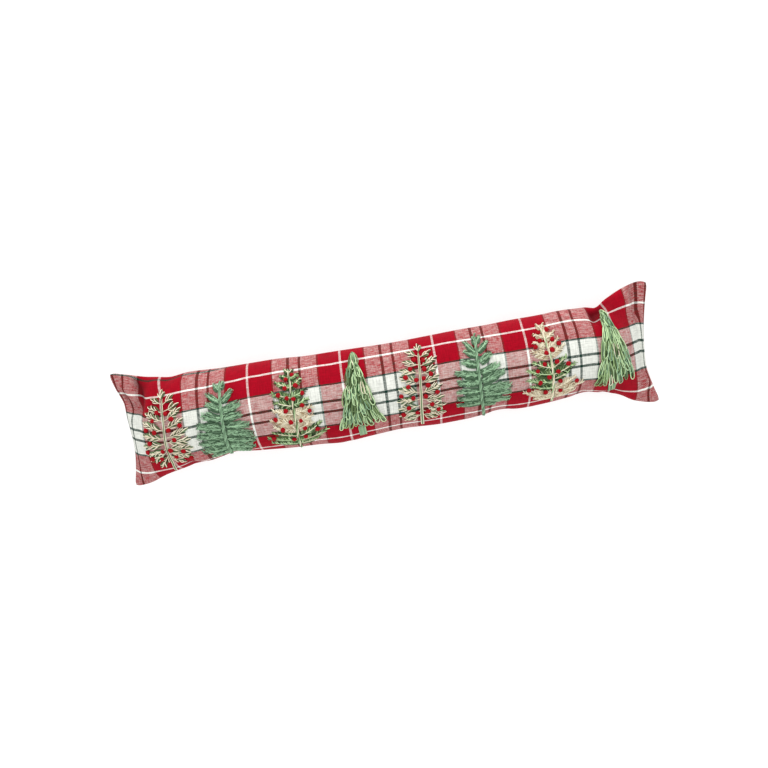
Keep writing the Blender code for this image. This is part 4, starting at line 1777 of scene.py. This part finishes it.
TREES = (
    SprigTree(
        name="tree_1_threads",
        node="tree_1_sprigs",
        slot="sprig_yarn",
        foot=(-0.358, -0.080),
        trunk=((-7, -8), (-1, 20), (0, 40), (1, 60), (3, 90), (2, 120), (0, 136)),
        grown=boughs(
            Yarn.CREAM,
            (1, 122, -10, 131, 3),
            (3, 121, 13, 130, 3),
            (2, 109, -17, 120, 4),
            (3, 110, 22, 117, 4),
            (2, 95, -24, 112, 5),
            (4, 95, 26, 110, 5),
            (2, 79, -30, 99, 5),
            (3, 82, 29, 93, 5),
            (1, 67, -34, 78, 5),
            (2, 67, 36, 76, 5),
            (0, 58, -39, 57, 5),
            (1, 60, 38, 58, 5),
            (0, 49, -36, 40, 5),
            (1, 51, 38, 42, 5),
            (0, 44, -35, 27, 5),
            (0, 46, 34, 25, 5),
            (-1, 37, -23, 15, 5),
            (0, 39, 18, 14, 5),
        ),
        berries=(
            (-6, 110), (7, 106), (-14, 98), (15, 96), (-27, 84), (27, 83), (-13, 79), (9, 79),
            (-24, 61), (15, 62), (-33, 45), (-7, 45), (5, 45), (23, 39), (-28, 32), (-13, 31),
            (9, 31), (30, 22),
        ),
        seed=11,
        trunk_width=4.2,
    ),
    FeatherTree(
        name="tree_2_threads",
        node="tree_2_feathers",
        slot="feather_yarn",
        foot=(-0.270, -0.073),
        trunk=((2, -6), (3, 40), (5, 100), (6, 136)),
        grown=boughs(
            Yarn.SEA_GREEN,
            (4, 118, -3, 132, 4),
            (6, 120, 11, 134, 4),
            (4, 99, -17, 118, 4),
            (6, 99, 25, 118, 4.5),
            (4, 87, -17, 101, 6),
            (5, 84, 34, 95, 7),
            (3, 71, -25, 85, 8),
            (5, 73, 34, 78, 7),
            (3, 57, -36, 68, 7),
            (5, 61, 44, 59, 7),
            (3, 43, -39, 52, 7),
            (5, 49, 47, 42, 7.5),
            (2, 30, -39, 38, 7),
            (4, 36, 48, 28, 8),
            (2, 16, -38, 21, 8),
            (4, 21, 44, 13, 8),
            (2, 5, -28, 4, 7),
            (3, 7, 36, 2, 7),
        ),
        seed=12,
        fullness=0.96,
        trunk_width=6.4,
    ),
    BoughTree(
        name="tree_3_threads",
        node="tree_3_boughs",
        slot="bough_yarn",
        foot=(-0.157, -0.077),
        trunk=((1, -6), (1, 20), (3, 50), (3, 110), (2, 146)),
        grown=boughs(
            Yarn.DEEP_GREEN,
            (2, 137, -4, 145, 3),
            (3, 137, 9, 144, 3),
            (2, 128, -11, 133, 4.5),
            (3, 127, 16, 135, 4.5),
            (2, 112, -20, 123, 5),
            (3, 113, 19, 126, 5),
            (2, 96, -26, 106, 6.5),
            (3, 98, 24, 107, 6.5),
            (2, 83, -25, 92, 7),
            (3, 85, 26, 93, 6.5),
        )
        + boughs(
            Yarn.CREAM,
            (2, 69, -28, 79, 7),
            (3, 71, 30, 80, 7),
            (2, 55, -35, 63, 8),
            (3, 57, 30, 67, 7),
            (2, 43, -31, 50, 7),
            (3, 45, 26, 54, 7),
        )
        + boughs(
            Yarn.DEEP_GREEN,
            (2, 30, -38, 42, 5),
            (3, 28, 41, 54, 6),
            (1, 20, -46, 31, 6),
            (2, 18, 48, 38, 7),
            (1, 11, -42, 19, 6),
            (2, 10, 32, 21, 6),
        ),
        berries=(
            (7, 133), (-3, 126), (-6, 112), (11, 115), (-18, 102), (20, 102), (-5, 96), (5, 94),
            (17, 83), (-10, 76), (27, 73), (-28, 64), (-5, 57), (11, 58), (-20, 45), (15, 44),
            (34, 40), (-37, 30), (13, 27), (-6, 23),
        ),
        seed=13,
        trunk_width=4.4,
    ),
    FrondTree(
        name="tree_4_threads",
        node="tree_4_fronds",
        slot="frond_yarn",
        foot=(-0.052, -0.071),
        trunk=((0, 0), (0, 154)),
        seed=14,
    ),
    SprigTree(
        name="tree_5_threads",
        node="tree_5_sprigs",
        slot="sprig_yarn",
        foot=(0.042, -0.069),
        trunk=((-1, -6), (1, 30), (4, 60), (7, 90), (9, 120), (10, 137)),
        grown=boughs(
            Yarn.CREAM,
            (9, 122, -5, 131, 4),
            (9, 120, 23, 127, 4),
            (8, 108, -12, 116, 4),
            (9, 106, 33, 116, 5),
            (7, 95, -20, 104, 5),
            (8, 93, 31, 101, 5),
            (6, 81, -22, 93, 5),
            (7, 80, 32, 88, 5),
            (4, 65, -26, 75, 5),
            (5, 64, 36, 73, 5),
            (3, 54, -32, 57, 5),
            (4, 53, 38, 53, 5),
            (2, 43, -33, 42, 5),
            (3, 41, 39, 40, 5),
            (1, 33, -33, 28, 5),
            (2, 33, 38, 24, 5),
            (1, 26, -24, 17, 5),
            (1, 26, 20, 17, 5),
        ),
        berries=(
            (1, 117), (15, 114), (-7, 103), (15, 100), (24, 91), (-16, 91), (12, 86), (0, 85),
            (-14, 76), (17, 74), (-27, 63), (30, 61), (11, 57), (-9, 57), (-18, 41), (19, 42),
            (11, 30), (-6, 30), (-28, 30), (28, 31),
        ),
        seed=15,
        trunk_width=5.6,
    ),
    FeatherTree(
        name="tree_6_threads",
        node="tree_6_feathers",
        slot="feather_yarn",
        foot=(0.144, -0.073),
        trunk=((-4, -8), (-4, 40), (-3, 100), (0, 151)),
        grown=boughs(
            Yarn.SEA_GREEN,
            (-1, 128, -4, 143, 3.5),
            (0, 130, 6, 144, 3.5),
            (-2, 112, -20, 138, 3.5),
            (-2, 108, -22, 121, 4),
            (0, 114, 17, 131, 4.5),
            (-2, 95, -29, 104, 6),
            (0, 97, 20, 110, 6.5),
            (-3, 79, -41, 88, 6),
            (-1, 80, 31, 90, 6.5),
            (-3, 66, -39, 72, 6.5),
            (-1, 66, 37, 78, 7.5),
            (-4, 53, -43, 58, 5),
            (-2, 54, 46, 54, 7.5),
            (-4, 41, -43, 45, 6),
            (-2, 45, 44, 43, 7.5),
            (-4, 30, -46, 33, 5),
            (-3, 34, 41, 27, 6.5),
            (-3, 25, 17, 20, 4),
        ),
        seed=16,
        trunk_width=5.8,
    ),
    BoughTree(
        name="tree_7_threads",
        node="tree_7_boughs",
        slot="bough_yarn",
        foot=(0.253, -0.067),
        trunk=((-3, -6), (0, 20), (3, 50), (2, 80), (-2, 108), (-7, 134)),
        grown=boughs(
            Yarn.CREAM,
            (-6, 128, -11, 139, 3),
            (-6, 127, -1, 138, 3.5),
            (-5, 119, 5, 129, 4),
            (-4, 112, -18, 121, 4),
            (-3, 108, 13, 120, 5),
            (-3, 98, -20, 108, 4.5),
            (-1, 93, 18, 107, 5.5),
            (0, 82, -25, 94, 7),
            (1, 82, 24, 94, 6.5),
        )
        + boughs(
            Yarn.DEEP_GREEN,
            (2, 62, -26, 76, 6),
            (3, 62, 27, 76, 5),
            (2, 51, -36, 65, 6),
            (3, 51, 38, 62, 8),
            (2, 39, -38, 49, 6),
            (3, 43, 28, 50, 6),
            (2, 28, -34, 37, 5),
        )
        + boughs(
            Yarn.CREAM,
            (2, 26, 38, 39, 6),
            (0, 12, -46, 28, 7),
            (2, 15, 50, 28, 8),
            (0, 7, -32, 10, 5),
            (1, 6, 36, 11, 5),
        ),
        berries=(
            (-11, 122), (3, 124), (-11, 108), (9, 106), (-19, 99), (18, 97), (6, 90), (-4, 87),
            (-9, 70), (11, 70), (-21, 61), (29, 63), (11, 54), (-4, 48), (-19, 41), (13, 37),
            (40, 31), (-38, 31), (-12, 21), (12, 18),
        ),
        seed=17,
        strands=(
            Strand(-1.0, Yarn.LIGHT_GREEN, 0.6),
            Strand(1.0, Yarn.CREAM, 0.8),
            Strand(0.0, Yarn.CREAM, 0.95),
        ),
        trunk_width=4.4,
    ),
    FrondTree(
        name="tree_8_threads",
        node="tree_8_fronds",
        slot="frond_yarn",
        foot=(0.356, -0.076),
        trunk=((0, 0), (3, 164)),
        lowest=(21.0, -32.0, 35.0),
        highest=(132.0, -0.5, 8.0),
        rows=9,
        length=36.0,
        pitch=9.0,
        splay=88.0,
        block=(-6.0, 7.0, -8.0, 24.0),
        block_lean=-4.0,
        seed=18,
    ),
)


@dataclass
class Studio:
    """A plain pale floor, soft light from the side of the trees' tops, and the camera."""

    aim: tuple[float, float, float] = (0.0, 0.0, 0.049)
    distance: float = 1.90
    lean: float = 11.5
    roll: float = 9.45
    metres_per_pixel: float = 0.00161
    image_width: int = 768
    aim_pixel: tuple[float, float] = (387.1, 386.2)
    sensor: float = 36.0

    def camera(self) -> None:
        """Looks down on the face at the photo's angle, with the length rising to the right."""
        lean, roll = math.radians(self.lean), math.radians(self.roll)
        back = Vector((0.0, math.sin(lean), math.cos(lean)))
        upright = Vector((0.0, math.cos(lean), -math.sin(lean)))
        along = Vector((1.0, 0.0, 0.0))
        right = math.cos(roll) * along - math.sin(roll) * upright
        up = math.sin(roll) * along + math.cos(roll) * upright
        data = bpy.data.cameras.new("camera")
        data.sensor_width = self.sensor
        data.lens = self.distance / (self.metres_per_pixel * self.image_width) * self.sensor
        centre = self.image_width / 2
        aside = (self.aim_pixel[0] - centre) * self.metres_per_pixel
        above = (centre - self.aim_pixel[1]) * self.metres_per_pixel
        place = Vector(self.aim) + back * self.distance - right * aside - up * above
        camera = bpy.data.objects.new("camera", data)
        camera.matrix_world = Matrix.Translation(place) @ Matrix((right, up, back)).transposed().to_4x4()
        bpy.context.scene.collection.objects.link(camera)
        bpy.context.scene.camera = camera

    def light(self, name: str, place: tuple, size: float, watts: float) -> None:
        """Adds a square soft light that faces the cushion."""
        data = bpy.data.lights.new(name, "AREA")
        data.shape = "SQUARE"
        data.size = size
        data.energy = watts
        lamp = bpy.data.objects.new(name, data)
        lamp.location = place
        direction = Vector(self.aim) - Vector(place)
        lamp.rotation_euler = direction.to_track_quat("-Z", "Y").to_euler()
        bpy.context.scene.collection.objects.link(lamp)

    def floor(self) -> None:
        """Adds the pale floor."""
        bm = bmesh.new()
        bmesh.ops.create_grid(bm, x_segments=1, y_segments=1, size=4.0)
        mesh = bpy.data.meshes.new("studio_floor")
        bm.to_mesh(mesh)
        bm.free()
        made = bpy.data.materials.new("matt_white_paper")
        made.use_nodes = True
        tree = made.node_tree
        shader = tree.nodes["Principled BSDF"]
        place = add_node(tree, "ShaderNodeTexCoord")
        grain = add_node(
            tree, "ShaderNodeTexNoise", {"Vector": place.outputs["Object"], "Scale": 900.0}
        )
        bump = add_node(
            tree,
            "ShaderNodeBump",
            {"Height": grain.outputs[0], "Strength": 0.05, "Distance": 0.0002},
        )
        tree.links.new(bump.outputs[0], shader.inputs["Normal"])
        shader.inputs["Base Color"].default_value = linear("#a9a9a8")
        shader.inputs["Roughness"].default_value = 0.95
        shader.inputs["Emission Color"].default_value = linear("#ffffff")
        shader.inputs["Emission Strength"].default_value = 0.68
        mesh.materials.append(made)
        sheet = bpy.data.objects.new("studio_floor", mesh)
        sheet.location.z = -0.0002
        bpy.context.scene.collection.objects.link(sheet)

    def build(self) -> None:
        """Sets the stage round the cushion."""
        self.camera()
        self.floor()
        self.light("window", (0.1, 2.2, 0.75), 1.4, 29.0)
        self.light("fill", (-0.6, -1.2, 2.4), 2.4, 7.0)
        world = bpy.data.worlds.new("studio")
        world.use_nodes = True
        background = world.node_tree.nodes["Background"]
        background.inputs["Color"].default_value = (1.0, 1.0, 1.0, 1.0)
        background.inputs["Strength"].default_value = 1.0
        bpy.context.scene.world = world
        bpy.context.scene.view_settings.view_transform = "Standard"


def main() -> None:
    """Builds the draught excluder piece by piece."""
    logging.basicConfig(level=logging.INFO, format="%(message)s")
    Studio().build()
    cover = Cover()
    pieces = [cover.build()]
    finishes = {yarn: finish.material() for yarn, finish in YARN_FINISHES.items()}
    threads = ThreadTree()
    names = threads.build()
    berries = Berries()
    berries.prepare(BerryFinish().material())
    for tree in TREES:
        pieces += tree.build(cover, threads, names, finishes)
        if tree.berries:
            pieces.append(berries.sow(tree, cover))
    for piece in pieces:
        piece.data.calc_loop_triangles()
        log.info("%s: %d triangles", piece.name, len(piece.data.loop_triangles))


if __name__ == "__main__":
    main()
